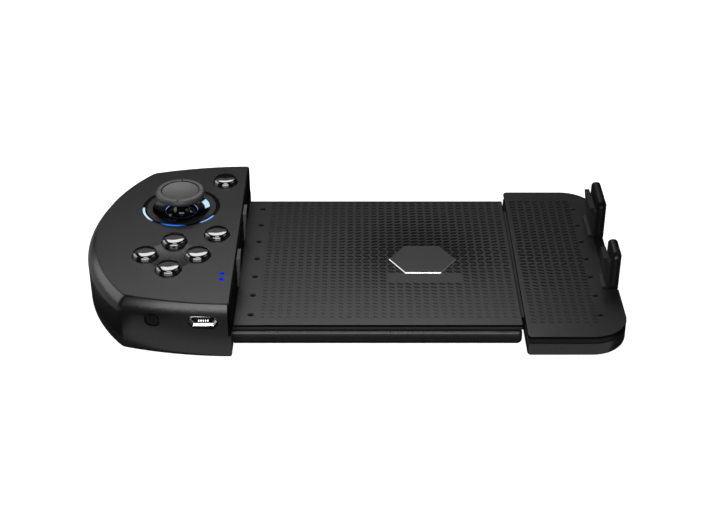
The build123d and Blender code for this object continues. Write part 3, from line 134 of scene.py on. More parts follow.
class Finish:
    """A material in the making, with the object's own coordinates at hand."""

    def __init__(self, name, colour, roughness, metallic=0.0, coat=0.0, specular=0.5):
        self.material = bpy.data.materials.new(f"{name}_finish")
        FINISHES[name] = self.material
        self.material.use_nodes = True
        self.material.diffuse_color = (*colour, 1)
        self.tree = self.material.node_tree
        self.shader = self.tree.nodes["Principled BSDF"]
        self.colour = colour
        self.roughness = roughness
        self.set("Base Color", (*colour, 1))
        self.set("Roughness", roughness)
        self.set("Metallic", metallic)
        self.set("Coat Weight", coat)
        self.set("Specular IOR Level", specular)
        self.place = self.node("ShaderNodeTexCoord", output="Object")

    def set(self, name, value):
        self.feed(self.shader.inputs[name], value)

    def feed(self, socket, value):
        if isinstance(value, Wire):
            self.tree.links.new(value.socket, socket)
        else:
            socket.default_value = value

    def node(self, kind, settings=None, inputs=None, output=0):
        """Any node: its settings first, then its sockets' values or links."""
        made = self.tree.nodes.new(kind)
        for key, value in (settings or {}).items():
            setattr(made, key, value)
        for key, value in (inputs or {}).items():
            self.feed(made.inputs[key], value)
        return Wire(self, made.outputs[output])

    def axis(self, name):
        """One of the object's own coordinates: X, Y or Z."""
        return self.node("ShaderNodeSeparateXYZ", None, {0: self.place}, output=name)

    def noise(self, size, detail=2.0, place=None):
        """Noise with features of about the size given in metres."""
        inputs = {"Vector": place or self.place, "Scale": 1 / size, "Detail": detail}
        return self.node("ShaderNodeTexNoise", None, inputs)

    def mixed(self, share, first, second):
        """Two colours mixed by a share."""
        inputs = {0: share, 6: first, 7: second}
        return self.node("ShaderNodeMix", {"data_type": "RGBA"}, inputs, output=2)

    def shaded(self, amount, pattern):
        """The base colour, darker and lighter by the amount as the pattern runs from 0 to 1."""
        dark = tuple(c * (1 - amount) for c in self.colour)
        light = tuple(min(1, c * (1 + amount)) for c in self.colour)
        self.set("Base Color", self.mixed(pattern, (*dark, 1), (*light, 1)))

    def grained(self, size, depth, strength=1.0, pattern=None):
        """A fine moulded grain, felt through a bump."""
        height = pattern or self.noise(size, 3.0)
        inputs = {"Strength": strength, "Distance": depth, "Height": height}
        self.set("Normal", self.node("ShaderNodeBump", None, inputs))

    def handled(self, size, amount):
        """Roughness that wanders a little, as on a part that has been handled."""
        self.set("Roughness", (self.noise(size, 3.0) - 0.5) * (2 * amount) + self.roughness)

    def turned_place(self, x, y):
        """The angle round an upright axis, in radians, and the distance from it."""
        along, across = self.axis("X") - x, self.axis("Y") - y
        angle = across.join("ARCTAN2", along)
        reach = (along * along + across * across) ** 0.5
        return angle, reach


def arc_mask(angle, start, end, soft):
    """1 between two angles in degrees, with soft ends."""
    low, high, edge = (math.radians(v) for v in (start, end, soft))
    past_end = angle.clamped(high - edge, high + edge)
    return angle.clamped(low - edge, low + edge) * (1 - past_end)


def band_mask(value, start, full, fall, end):
    """Rises from 0 to 1 between start and full, and falls back between fall and end."""
    return value.clamped(start, full) * (1 - value.clamped(fall, end))


def moulded_matt(name, colour, roughness, grain=0.25 * MM, depth=0.03 * MM, specular=0.5):
    """Fine-grained matt moulding, with faint speckle and a little wander in its sheen."""
    finish = Finish(name, colour, roughness, specular=specular)
    speckle = finish.noise(grain * 1.6, 2.0)
    finish.shaded(0.22, speckle.clamped(0.3, 0.7))
    finish.grained(grain, depth, 0.6)
    finish.handled(9 * MM, 0.03)
    return finish


def polished(name, colour, roughness, coat=0.0, specular=0.5):
    """Smooth polished moulding, with faint flow marks and handling haze."""
    finish = Finish(name, colour, roughness, coat=coat, specular=specular)
    finish.grained(4 * MM, 0.01 * MM, 0.25)
    finish.handled(6 * MM, 0.03)
    finish.shaded(0.15, finish.noise(10 * MM))
    return finish


def rubber(name, colour, roughness):
    """Matt rubber with a dusty, slightly uneven colour."""
    finish = Finish(name, colour, roughness, specular=0.35)
    finish.shaded(0.12, finish.noise(1.6 * MM, 4.0).clamped(0.3, 0.7))
    finish.grained(0.25 * MM, 0.03 * MM, 0.5)
    finish.handled(5 * MM, 0.04)


def plated(name, colour, roughness):
    """Bright or brushed metal with fine draw lines."""
    finish = Finish(name, colour, roughness, metallic=1.0)
    inputs = {"Vector": finish.place, "Scale": (0.1, 1.0, 1.0)}
    stretched = finish.node("ShaderNodeMapping", None, inputs)
    line_width = 0.2 * MM
    lines = finish.noise(line_width, 2.0, stretched)
    finish.grained(line_width, 0.01 * MM, 0.3, lines)
    finish.handled(2 * MM, 0.05)


def make_finishes(colours):
    """Every finish of the controller, most under the name of its slot in the record."""
    plate = tuple(colours.plate)
    smooth = {"grain": 0.3 * MM, "depth": 0.01 * MM}
    moulded_matt("face_matte", plate, 0.33)
    moulded_matt("band_black", (0.006, 0.006, 0.006), 0.45, specular=0.3)
    make_relief_finish(plate)
    # Near-black and almost unreflecting: painted shade, put on the wall plate's face, in the cap's
    # groove and notches, and on the skins' sides.
    moulded_matt("shade_black", (0.0015, 0.0015, 0.0015), 0.6, specular=0.05)
    make_nub_finish(plate)
    moulded_matt("shell_gloss", tuple(colours.shell), 0.3, specular=1.0, **smooth)
    moulded_matt("shell_lower", tuple(colours.lower), 0.28, specular=0.8, **smooth)
    moulded_matt("inner_plastic", (0.008, 0.008, 0.009), 0.5)
    button = polished("button_gloss", (0.003, 0.003, 0.0035), 0.1, coat=1.0, specular=1.0)
    button.set("IOR", 1.9)
    polished("stick_gloss", (0.004, 0.004, 0.0045), 0.12, specular=0.8)
    make_cap_finish(tuple(colours.cap))
    rubber("pad_rubber", tuple(colours.pad), 0.7)
    rubber("claw_pad", (0.018, 0.018, 0.0185), 0.5)
    plated("badge_edge", (0.8, 0.8, 0.8), 0.25)
    rubber("mat_rubber", (0.3, 0.31, 0.33), 0.7)
    rubber("foot_rubber", (0.02, 0.02, 0.021), 0.55)
    moulded_matt("claw_satin", tuple(colours.claw), 0.3, specular=0.4, **smooth)
    plated("steel", (0.5, 0.5, 0.51), 0.3)
    plated("screw_black", (0.06, 0.06, 0.065), 0.35)
    plated("nickel", (0.75, 0.75, 0.74), 0.25)
    moulded_matt("contact_plastic", (0.012, 0.012, 0.012), 0.4)
    polished("board", (0.01, 0.06, 0.03), 0.3)
    moulded_matt("chip", (0.02, 0.02, 0.02), 0.45)
    plated("battery_foil", (0.4, 0.41, 0.43), 0.4)
    polished("badge", tuple(colours.badge), 0.35)
    make_ring_finish(colours)
    make_well_finish()
    make_lamp_finish(colours)


def make_relief_finish(plate):
    """The sunk triangles, with painted shade in them: darkest behind the badge and on the end
    piece, and paler than the plate towards the front and the left.
    """
    finish = Finish("relief_matte", tuple(c * 0.3 for c in plate), 0.6, specular=0.1)
    across, along = finish.axis("Y"), finish.axis("X")
    # Painted shade: the triangles' colour runs from pale to near-black by place, standing in for
    # the shade in the pits.
    depth = across.clamped(-36 * MM, 8 * MM) * (along.clamped(-45 * MM, 15 * MM) * 0.55 + 0.45)
    on_end_piece = along.clamped(50 * MM, 58 * MM)
    depth = depth + on_end_piece * 0.55
    pale, dark = (tuple(c * share for c in plate) for share in (3, 0.03))
    finish.set("Base Color", finish.mixed(depth, (*pale, 1), (*dark, 1)))
    finish.grained(0.3 * MM, 0.02 * MM, 0.4)


def make_cap_finish(cap):
    """Grey rubber of the cap, with painted shade darkening it over its rounded rim and down its
    side.
    """
    finish = moulded_matt("cap_rubber", cap, 0.46, specular=0.8)
    low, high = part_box("stick_cap")
    radius = (high.x - low.x) / 2
    _, reach = finish.turned_place(RING_X, RING_Y)
    # Painted shade: the colour darkens over the outer 0.8 mm of the cap's width, on the rim's
    # rounding and the side.
    side = reach.clamped(radius - 0.8 * MM, radius - 0.15 * MM)
    deep = tuple(c * 0.45 for c in cap)
    finish.set("Base Color", finish.mixed(side, (*cap, 1), (*deep, 1)))


def make_nub_finish(plate):
    """Rubber nubs in the bed's grey, with painted shadow round the foot and over the near side."""
    finish = moulded_matt("nub_rubber", tuple(c * 3 for c in plate), 0.6, specular=0.15)
    height, across = finish.axis("Z"), finish.axis("Y")
    turn = (across / NUB_PITCH + 0.5).join("FRACT") - 0.5
    foot_low, foot_high = BED_HIGH.z + 0.06 * MM, BED_HIGH.z + 0.12 * MM
    # Painted shadow: black round each nub's foot, up to about 0.1 mm above the bed, and over its
    # near side.
    free = height.clamped(foot_low, foot_high) * turn.clamped(-0.047, -0.032)
    black = (0.0003, 0.0003, 0.0003, 1)
    finish.set("Base Color", finish.mixed(free, black, (*finish.colour, 1)))


def make_ring_finish(colours):
    """Smoked ring with lit arcs, each on the outer or the inner part of its width."""
    finish = Finish("light_ring", (0.003, 0.003, 0.004), 0.12, specular=0.2)
    angle, reach = finish.turned_place(RING_X, RING_Y)
    deep = (*colours.light, 1)
    pale = (0.62, 0.85, 1.0, 1)
    middle = (0.2, 0.5, 1.0, 1)
    outer = reach.clamped(12.55 * MM, 12.75 * MM)
    inner = 1 - reach.clamped(12.9 * MM, 13.1 * MM)
    lit = (0, 0, 0, 1)
    for start, end, soft, part, colour in (
        (-178, -139, 3, outer, pale),
        (-139, -134, 2, outer, middle),
        (-113, -83, 9, inner, deep),
        (-54, -27, 3, outer, middle),
    ):
        lit = finish.mixed(arc_mask(angle, start, end, soft) * part, lit, colour)
    finish.set("Emission Color", lit)
    finish.set("Emission Strength", colours.light_strength)
    finish.handled(4 * MM, 0.02)


def make_well_finish():
    """Polished black bowl, with a painted blue glint along the edge of its hole and a painted
    reflection in one patch of its wall.
    """
    finish = polished("well_gloss", (0.002, 0.002, 0.0025), 0.14, specular=0.15)
    angle, reach = finish.turned_place(RING_X, RING_Y)
    height = finish.axis("Z")
    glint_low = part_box("stick_well")[1].z - 1.35 * MM
    edge = band_mask(reach, 5.38 * MM, 5.45 * MM, 5.55 * MM, 5.7 * MM)
    edge = edge * height.clamped(glint_low, glint_low + 0.08 * MM)
    wall = band_mask(reach, 8.0 * MM, 8.3 * MM, 9.75 * MM, 9.9 * MM)
    patch = wall * arc_mask(angle, 4, 37, 3)
    bright = arc_mask(angle, 3, 38, 8) + arc_mask(angle, 142, 177, 8)
    # Painted highlights: the emission paints a blue glint round the hole's edge, brighter on two
    # arcs, and a pale reflection on a patch of the wall.
    lit = finish.mixed(edge, (0, 0, 0, 1), (0.02, 0.032, 0.08, 1))
    lit = finish.mixed(edge * bright, lit, (0.18, 0.3, 0.75, 1))
    lit = finish.mixed(patch, lit, (0.55, 0.8, 0.95, 1))
    finish.set("Emission Color", lit)
    finish.set("Emission Strength", 1.0)


def make_lamp_finish(colours):
    """Clear light pipe, lit blue from below and a little uneven."""
    finish = Finish("light_blue", (0.0, 0.002, 0.1), 0.6, specular=0.0)
    glow = finish.noise(0.8 * MM).clamped(0.2, 0.8)
    lit = finish.mixed(glow, (0.0, 0.01, 0.8, 1), (0.0, 0.02, 1.0, 1))
    finish.set("Emission Color", lit)
    finish.set("Emission Strength", colours.light_strength)


# ------------------------------------------------------------------ mesh tools


def soften(bm, angle):
    """Smooth faces, with edges sharper than the angle, in degrees, kept crisp."""
    limit = math.radians(angle)
    for face in bm.faces:
        face.smooth = True
    for edge in bm.edges:
        edge.smooth = len(edge.link_faces) == 2 and edge.calc_face_angle(0) < limit


def place_piece(bm, name, nodes, slot, angle=35, body=None, finishes=()):
    """Turns a bmesh into a finished piece that stands for the nodes and rides with them."""
    soften(bm, angle)
    mesh = bpy.data.meshes.new(name)
    bm.to_mesh(mesh)
    bm.free()
    piece = bpy.data.objects.new(name, mesh)
    bpy.context.scene.collection.objects.link(piece)
    for finish in finishes or (slot,):
        mesh.materials.append(FINISHES[finish])
    even = piece.modifiers.new("even_normals", "WEIGHTED_NORMAL")
    even.keep_sharp = True
    even.weight = 90
    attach(piece, body or node_body(nodes[0]))
    if nodes:
        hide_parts(*nodes)
    return piece


def node_body(node):
    """The body that a node belongs to."""
    for body, members in frame["record"]["behaviour"]["bodies"].items():
        if node in members:
            return body
    raise RuntimeError(f"no body holds {node}")


def copy_node(node):
    """A merged copy of a node's mesh."""
    bm = bmesh.new()
    bm.from_mesh(frame["nodes"][node].data)
    bmesh.ops.remove_doubles(bm, verts=bm.verts[:], dist=1e-6)
    bmesh.ops.dissolve_degenerate(bm, edges=bm.edges[:], dist=1e-7)
    return bm


def smooth_node(node, slot, angle=35, finishes=()):
    """The node's own shape, smooth where it is round."""
    name = f"{node}_moulding"
    return place_piece(copy_node(node), name, [node], slot, angle, finishes=finishes)


def crisp_top(mesh, height):
    """Keeps the edges of the flat top crisp, as where the shallow dish starts."""
    bm = bmesh.new()
    bm.from_mesh(mesh)
    for edge in bm.edges:
        flat = [face.normal.z > 0.99999 for face in edge.link_faces]
        at_top = all(abs(vert.co.z - height) < 1e-6 for vert in edge.verts)
        if at_top and len(flat) == 2 and flat[0] != flat[1]:
            edge.smooth = False
    bm.to_mesh(mesh)
    bm.free()


def turned(profile, centre, steps):
    """A closed profile of (radius, height) in metres, spun round an upright axis."""
    bm = bmesh.new()
    verts = [bm.verts.new((centre.x + radius, centre.y, height)) for radius, height in profile]
    edges = [bm.edges.new(pair) for pair in zip(verts, verts[1:] + verts[:1])]
    bmesh.ops.spin(
        bm, geom=verts + edges, cent=centre, axis=(0, 0, 1), dvec=(0, 0, 0),
        angle=math.tau, steps=steps, use_merge=True, use_duplicate=False,
    )
    bmesh.ops.remove_doubles(bm, verts=bm.verts[:], dist=1e-7)
    bmesh.ops.dissolve_degenerate(bm, edges=bm.edges[:], dist=1e-8)
    bmesh.ops.recalc_face_normals(bm, faces=bm.faces[:])
    return bm


def turned_arc(radius, height, first, last, steps):
    """Points of a profile on a ball round (0, height), between two angles from straight up."""
    angles = [first + (last - first) * step / steps for step in range(steps + 1)]
    return [(radius * math.sin(a), height + radius * math.cos(a)) for a in angles]


def seen_from(centre, face):
    """A face's middle as seen from the centre, and how far it is from the upright axis there."""
    place = face.calc_center_median() - centre
    return place, math.hypot(place.x, place.y)


def round_rings(bm, centre, corners, segments):
    """Rounds the ring edges of a turned shape: corners are (radius, height, round), in metres."""
    near = 0.02 * MM
    for radius, height, size in corners:
        rings = [
            edge
            for edge in bm.edges
            if all(
                abs(math.hypot(v.co.x - centre.x, v.co.y - centre.y) - radius) < near
                and abs(v.co.z - height) < near
                for v in edge.verts
            )
        ]
        bmesh.ops.bevel(
            bm, geom=rings, offset=size, offset_type="OFFSET", affect="EDGES",
            segments=segments, profile=0.5, material=-1, clamp_overlap=True,
        )


def top_face(low, high):
    """The flat top of a box between two corners, as a new mesh."""
    bm = bmesh.new()
    corners = ((low.x, low.y), (high.x, low.y), (high.x, high.y), (low.x, high.y))
    bm.faces.new([bm.verts.new((x, y, high.z)) for x, y in corners])
    return bm


def cut_lines(bm, axis, places, beyond=None):
    """Cuts a flat plate at places on an axis, or only its faces beyond one on the other axis."""
    normal = Vector((1, 0, 0)) if axis == 0 else Vector((0, 1, 0))
    for place in places:
        faces = list(bm.faces)
        if beyond is not None:
            faces = [face for face in faces if face.calc_center_median()[1 - axis] > beyond]
        parts = {part for face in faces for part in (*face.verts, *face.edges)}
        bmesh.ops.bisect_plane(
            bm, geom=[*parts, *faces], dist=1e-7, plane_co=normal * place, plane_no=normal,
        )


# ------------------------------------------------------------------ sizes and colours


class ControllerColours(bpy.types.PropertyGroup):
    """Colours of the controller's finishes."""

    plate: bpy.props.FloatVectorProperty(
        name="Face plate", description="Matt grey of the face plate and the bed",
        subtype="COLOR", default=(0.014, 0.014, 0.0145), min=0, max=1,
    )
    shell: bpy.props.FloatVectorProperty(
        name="Side shell", description="Gloss black of the grip's side",
        subtype="COLOR", default=(0.004, 0.004, 0.0045), min=0, max=1,
    )
    lower: bpy.props.FloatVectorProperty(
        name="Lower shell", description="Satin black of the cover and the trays",
        subtype="COLOR", default=(0.016, 0.016, 0.0165), min=0, max=1,
    )
    cap: bpy.props.FloatVectorProperty(
        name="Stick cap", description="Grey rubber of the stick's cap",
        subtype="COLOR", default=(0.13, 0.13, 0.132), min=0, max=1,
    )
    pad: bpy.props.FloatVectorProperty(
        name="Pads", description="Light grey rubber of the pads that hold the phone",
        subtype="COLOR", default=(0.16, 0.16, 0.16), min=0, max=1,
    )
    claw: bpy.props.FloatVectorProperty(
        name="Claws", description="Satin black of the claws and the end piece's band",
        subtype="COLOR", default=(0.008, 0.008, 0.0085), min=0, max=1,
    )
    badge: bpy.props.FloatVectorProperty(
        name="Badge", description="Dark metal of the six-sided plate",
        subtype="COLOR", default=(0.02, 0.02, 0.021), min=0, max=1,
    )
    light: bpy.props.FloatVectorProperty(
        name="Light", description="Blue of the lit ring and the status lights",
        subtype="COLOR", default=(0.02, 0.2, 1.0), min=0, max=1,
    )
    light_strength: bpy.props.FloatProperty(
        name="Light strength", description="How strongly the lit parts shine",
        default=1.0, min=0, max=20,
    )


class ControllerSizes(bpy.types.PropertyGroup):
    """Sizes of the details that the dressing adds."""

    cell_length: bpy.props.FloatProperty(
        name="Relief length", description="Length of one pair of triangles in the bed's relief",
        subtype="DISTANCE", unit="LENGTH", default=2.8 * MM, min=1 * MM, max=10 * MM,
    )
    cell_width: bpy.props.FloatProperty(
        name="Relief width", description="Width of one row of triangles in the bed's relief",
        subtype="DISTANCE", unit="LENGTH", default=1.95 * MM, min=1 * MM, max=10 * MM,
    )
    relief_depth: bpy.props.FloatProperty(
        name="Relief depth", description="Depth of the triangles in the bed's relief",
        subtype="DISTANCE", unit="LENGTH", default=0.12 * MM, min=0, max=0.5 * MM,
    )
    button_crown: bpy.props.FloatProperty(
        name="Button crown", description="How far a button's top rises at its middle",
        subtype="DISTANCE", unit="LENGTH", default=0.38 * MM, min=0, max=1 * MM,
    )
    edge_round: bpy.props.FloatProperty(
        name="Edge round", description="Radius of the rounded edges of plates",
        subtype="DISTANCE", unit="LENGTH", default=0.3 * MM, min=0.05 * MM, max=1 * MM,
    )


class StudioSettings(bpy.types.PropertyGroup):
    """Lights and camera."""

    lens: bpy.props.FloatProperty(
        name="Lens", description="Focal length of the camera", subtype="DISTANCE_CAMERA",
        default=70.034, min=10, max=300,
    )
    pitch: bpy.props.FloatProperty(
        name="Pitch", description="Angle of the camera from straight down", subtype="ANGLE",
        default=math.radians(58.191), min=0, max=math.pi / 2,
    )
    ambient: bpy.props.FloatProperty(
        name="Surroundings", description="Strength of the faint light from all sides",
        default=0.012, min=0, max=10,
    )
    lamps: bpy.props.FloatProperty(
        name="Lamps", description="Strength of all the lamp panels together",
        default=1.0, min=0, max=10,
    )


# ------------------------------------------------------------------ the pieces


class CONTROLLER_OT_finishes(bpy.types.Operator):
    """Makes the finishes and puts each on the nodes that carry its slot"""

    bl_idname = "controller.finishes"
    bl_label = "Finishes"

    def execute(self, context):
        make_finishes(context.scene.controller_colours)
        for row in frame["record"]["subparts"]:
            node = frame["nodes"][row["node"]]
            node.data.materials.clear()
            node.data.materials.append(FINISHES[row["material_slot"]])
        return {"FINISHED"}


class CONTROLLER_OT_grip_shell(bpy.types.Operator):
    """Smooths the grip's frame, cover, face plate, wall plate and pads"""

    bl_idname = "controller.grip_shell"
    bl_label = "Grip shell"

    def execute(self, context):
        smooth_node("pod_frame", "shell_gloss", 30)
        smooth_node("pod_bottom_cover", "shell_lower", 30)
        bm = copy_node("face_plate")
        plate = place_piece(bm, "face_plate_moulding", ["face_plate"], "face_matte", 30)
        crisp_top(plate.data, PLATE_TOP)
        # The wall plate wears the near-black finish: painted shade for its face in shadow.
        smooth_node("wall_plate", "face_matte", finishes=("shade_black",))
        for side in ("rear", "front"):
            smooth_node(f"wall_pad_{side}", "pad_rubber")
        for key in ("bumper_key", "trigger_key"):
            smooth_node(key, "button_gloss", 30)
        return {"FINISHED"}


class CONTROLLER_OT_ring(bpy.types.Operator):
    """Turns the lit ring and the bowl that the stick stands in"""

    bl_idname = "controller.ring"
    bl_label = "Ring and well"

    def execute(self, context):
        make_ring()
        make_well()
        return {"FINISHED"}


def make_ring():
    """The lit ring, with the collar that goes down into the grip."""
    low, top = RING_LOW.z, RING_HIGH.z
    outer = 13.4 * MM
    collar_inner, collar_outer = 11.8 * MM, (RING_HIGH.x - RING_LOW.x) / 2
    profile = [
        (RING_INNER, top), (outer, top), (outer, UNDER_PLATE), (collar_outer, UNDER_PLATE),
        (collar_outer, low), (collar_inner, low), (collar_inner, UNDER_PLATE),
        (RING_INNER, UNDER_PLATE),
    ]
    bm = turned(profile, RING_CENTRE, 128)
    corners = [(RING_INNER, top, 0.15 * MM), (outer, top, 0.1 * MM)]
    round_rings(bm, RING_CENTRE, corners, 3)
    place_piece(bm, "ring_light_turning", ["ring_light"], "light_ring", 40)


def make_well():
    """The bowl, with its matt flange inside the ring and the stem's hole in its middle."""
    well_low, well_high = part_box("stick_well")
    top, low = well_high.z, well_low.z
    flange, rim_round = RING_INNER - SEAM, 0.12 * MM
    foot, shoulder = 8.2 * MM, WELL_RIM + 0.9 * MM
    bowl_depth = 1.15 * MM
    bowl_low = top - bowl_depth
    profile = [(flange, top), (WELL_RIM, top)]
    for share in (0.12, 0.27, 0.45, 0.65, 0.82):
        radius = WELL_RIM - (WELL_RIM - WELL_HOLE) * share
        profile.append((radius, top - bowl_depth * math.sin(share * math.pi / 2) ** 0.8))
    profile += [
        (WELL_HOLE, bowl_low), (WELL_HOLE, low), (foot, low), (shoulder, UNDER_PLATE),
        (flange, UNDER_PLATE),
    ]
    bm = turned(profile, RING_CENTRE, 128)
    corners = [
        (WELL_RIM, top, rim_round), (flange, top, 0.08 * MM), (WELL_HOLE, bowl_low, 0.15 * MM),
    ]
    round_rings(bm, RING_CENTRE, corners, 3)
    for face in bm.faces:
        _, reach = seen_from(RING_CENTRE, face)
        if reach > WELL_RIM + rim_round and face.normal.z > 0.9:
            face.material_index = 1
    finishes = ("well_gloss", "face_matte")
    place_piece(
        bm, "stick_well_turning", ["stick_well"], "stick_gloss", 40, finishes=finishes,
    )


class CONTROLLER_OT_stick(bpy.types.Operator):
    """Turns the thumb stick's stem and its rubber cap"""

    bl_idname = "controller.stick"
    bl_label = "Thumb stick"

    def execute(self, context):
        make_stem()
        make_cap()
        return {"FINISHED"}


def make_stem():
    """The stem: a flare under the cap, a neck with a small dome, and a hollow ball below."""
    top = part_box("stick_stem")[1].z
    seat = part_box("stick_cap")[0].z
    neck, neck_drop = 2.0 * MM, 3.0 * MM
    dome, dome_z = 3.3 * MM, 18.6 * MM
    ball, ball_wall, pivot = 8.7 * MM, 0.8 * MM, 11.5 * MM
    ball_start, ball_edge = math.asin(3.13 * MM / ball), math.radians(59)
    core, core_low = 2.4 * MM, 16.6 * MM
    bore, bore_top = 1.53 * MM, 24.05 * MM
    hollow = ball - ball_wall
    profile = [(0, top), (STEM_FLARE, top), (STEM_FLARE, seat)]
    for share in (0.2, 0.4, 0.6, 0.8, 1.0):
        radius = STEM_FLARE - (STEM_FLARE - neck) * share
        profile.append((radius, seat - neck_drop * share**2.6))
    profile += turned_arc(dome, dome_z, math.radians(38), math.radians(70), 4)
    profile += turned_arc(ball, pivot, ball_start, ball_edge, 12)
    profile += turned_arc(hollow, pivot, ball_edge, math.asin(core / hollow), 8)
    profile += [(core, core_low), (bore, core_low), (bore, bore_top), (0, bore_top)]
    bm = turned(profile, RING_CENTRE, 96)
    place_piece(bm, "stick_stem_turning", ["stick_stem"], "stick_gloss", 40)


def make_cap():
    """The cap: a disc with a rounded rim, a dish with a groove round it, and four notches."""
    low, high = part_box("stick_cap")
    seat, top, radius = low.z, high.z, (high.x - low.x) / 2
    rim_round = 1.1 * MM
    dish, dish_depth, dish_edge = 6.4 * MM, 0.9 * MM, 0.2 * MM
    groove_low, groove_floor, groove = top - 0.36 * MM, dish + 0.1 * MM, dish + 0.22 * MM
    bore, bore_top = STEM_FLARE + SEAM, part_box("stick_stem")[1].z + SEAM
    profile = [(0, top - dish_depth)]
    for share in (0.2, 0.4, 0.6, 0.8, 0.98):
        rise = (dish_depth - dish_edge) * share**2
        profile.append((dish * share, top - dish_depth + rise))
    profile += [
        (dish, groove_low), (groove_floor, groove_low), (groove, top), (radius, top),
        (radius, seat), (bore, seat), (bore, bore_top), (0, bore_top),
    ]
    steps = 96
    bm = turned(profile, RING_CENTRE, steps)
    corners = [(radius, top, rim_round), (radius, seat, rim_round), (groove, top, 0.12 * MM)]
    round_rings(bm, RING_CENTRE, corners, 8)
    half_step = Matrix.Rotation(math.pi / steps, 3, "Z")
    bmesh.ops.rotate(bm, verts=bm.verts[:], cent=RING_CENTRE, matrix=half_step)
    notch_turn, notch_end = 1.95, radius - 0.75 * MM
    rim_start = dish + 0.2 * MM
    notches = []
    for face in bm.faces:
        place, reach = seen_from(RING_CENTRE, face)
        turn = math.degrees(math.atan2(place.y, place.x)) % 90
        at_notch = min(turn, 90 - turn) < notch_turn
        if at_notch and rim_start < reach < notch_end and place.z > top - 0.35 * MM:
            notches.append(face)
    bmesh.ops.inset_region(
        bm, faces=notches, thickness=0.05 * MM, depth=-0.25 * MM, use_even_offset=True,
    )
    # The groove round the dish and the notches take the near-black finish: painted shade in these
    # recesses.
    for face in bm.faces:
        place, reach = seen_from(RING_CENTRE, face)
        in_groove = dish - SEAM < reach < rim_start and place.z > groove_low - 0.01 * MM
        if face in notches or in_groove:
            face.material_index = 1
    finishes = ("cap_rubber", "shade_black")
    place_piece(bm, "stick_cap_turning", ["stick_cap"], "cap_rubber", 40, finishes=finishes)


class CONTROLLER_OT_buttons(bpy.types.Operator):
    """Turns the six push buttons with a low crown"""

    bl_idname = "controller.buttons"
    bl_label = "Buttons"

    def execute(self, context):
        crown = context.scene.controller_sizes.button_crown
        skirt, draft = 4.3 * MM, math.radians(14)
        flange, flange_low = 4.8 * MM, UNDER_PLATE - 1 * MM
        post = 2 * MM
        for name in BUTTONS:
            low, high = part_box(name)
            centre = Vector(((low.x + high.x) / 2, (low.y + high.y) / 2, 0))
            rim = skirt - (high.z - PLATE_TOP) * math.tan(draft)
            rim_z = high.z - crown
            profile = [(0, high.z)]
            for share in (0.12, 0.25, 0.38, 0.52, 0.64, 0.75, 0.86):
                profile.append((rim * share, high.z - crown * share**3.4))
            profile += [
                (rim, rim_z), (skirt, PLATE_TOP), (skirt, UNDER_PLATE), (flange, UNDER_PLATE),
                (flange, flange_low), (post, flange_low), (post, low.z), (0, low.z),
            ]
            bm = turned(profile, centre, 96)
            round_rings(bm, centre, [(rim, rim_z, 0.55 * MM)], 8)
            place_piece(bm, f"{name}_turning", [name], "button_gloss", 40)
        return {"FINISHED"}


class CONTROLLER_OT_small_parts(bpy.types.Operator):
    """Smooths the nubs, the feet and the side switch's knob"""

    bl_idname = "controller.small_parts"
    bl_label = "Small parts"

    def execute(self, context):
        for name in ("rubber_feet", "end_feet"):
            smooth_node(name, "foot_rubber")
        for name in ("bed_nubs", "end_nubs"):
            smooth_node(name, "foot_rubber", finishes=("nub_rubber",))
        smooth_node("switch_knob", "claw_satin")
        return {"FINISHED"}


class CONTROLLER_OT_port(bpy.types.Operator):
    """Makes the charging port's flared mouth and its row of contacts"""

    bl_idname = "controller.port"
    bl_label = "Charging port"

    def execute(self, context):
        smooth_node("port_shell", "nickel")
        low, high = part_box("port_shell")
        make_port_lip(low, high)
        make_port_contacts(low, high)
        return {"FINISHED"}


# How far the top, the sides and the foot of the port's lip flare: forward, aside and down, in mm
TOP_FLARE, SIDE_FLARE, FOOT_FLARE = (0.12, 0.1, 0), (0.6, 0.55, 0.1), (0.6, 0.25, 0.55)


def make_port_lip(low, high):
    """The thin lip that flares out of the port's shell."""
    middle = (low + high) / 2
    half, tall = (high.x - low.x) / 2, (high.z - low.z) / 2
    slant, side_half = 0.85 * MM, 0.5 * MM
    outline = [
        (-half, tall), (half, tall), (half, 0),
        (half - slant, -tall), (slant - half, -tall), (-half, 0),
    ]
    bm = bmesh.new()
    verts = [bm.verts.new((middle.x + x, low.y, middle.z + z)) for x, z in outline]
    edges = [bm.edges.new(pair) for pair in zip(verts, verts[1:] + verts[:1])]
    made = bmesh.ops.extrude_edge_only(bm, edges=edges)["geom"]
    for vert in (part for part in made if isinstance(part, bmesh.types.BMVert)):
        out = vert.co - middle
        flare = TOP_FLARE if out.z > side_half else SIDE_FLARE
        if out.z < -side_half:
            flare = FOOT_FLARE
        forward, aside, down = flare
        vert.co += Vector((aside if out.x > 0 else -aside, -forward, -down)) * MM
    bmesh.ops.recalc_face_normals(bm, faces=bm.faces[:])
    bmesh.ops.solidify(bm, geom=bm.faces[:], thickness=0.12 * MM)
    bmesh.ops.recalc_face_normals(bm, faces=bm.faces[:])
    place_piece(bm, "port_lip", [], "nickel", 20, body="root")


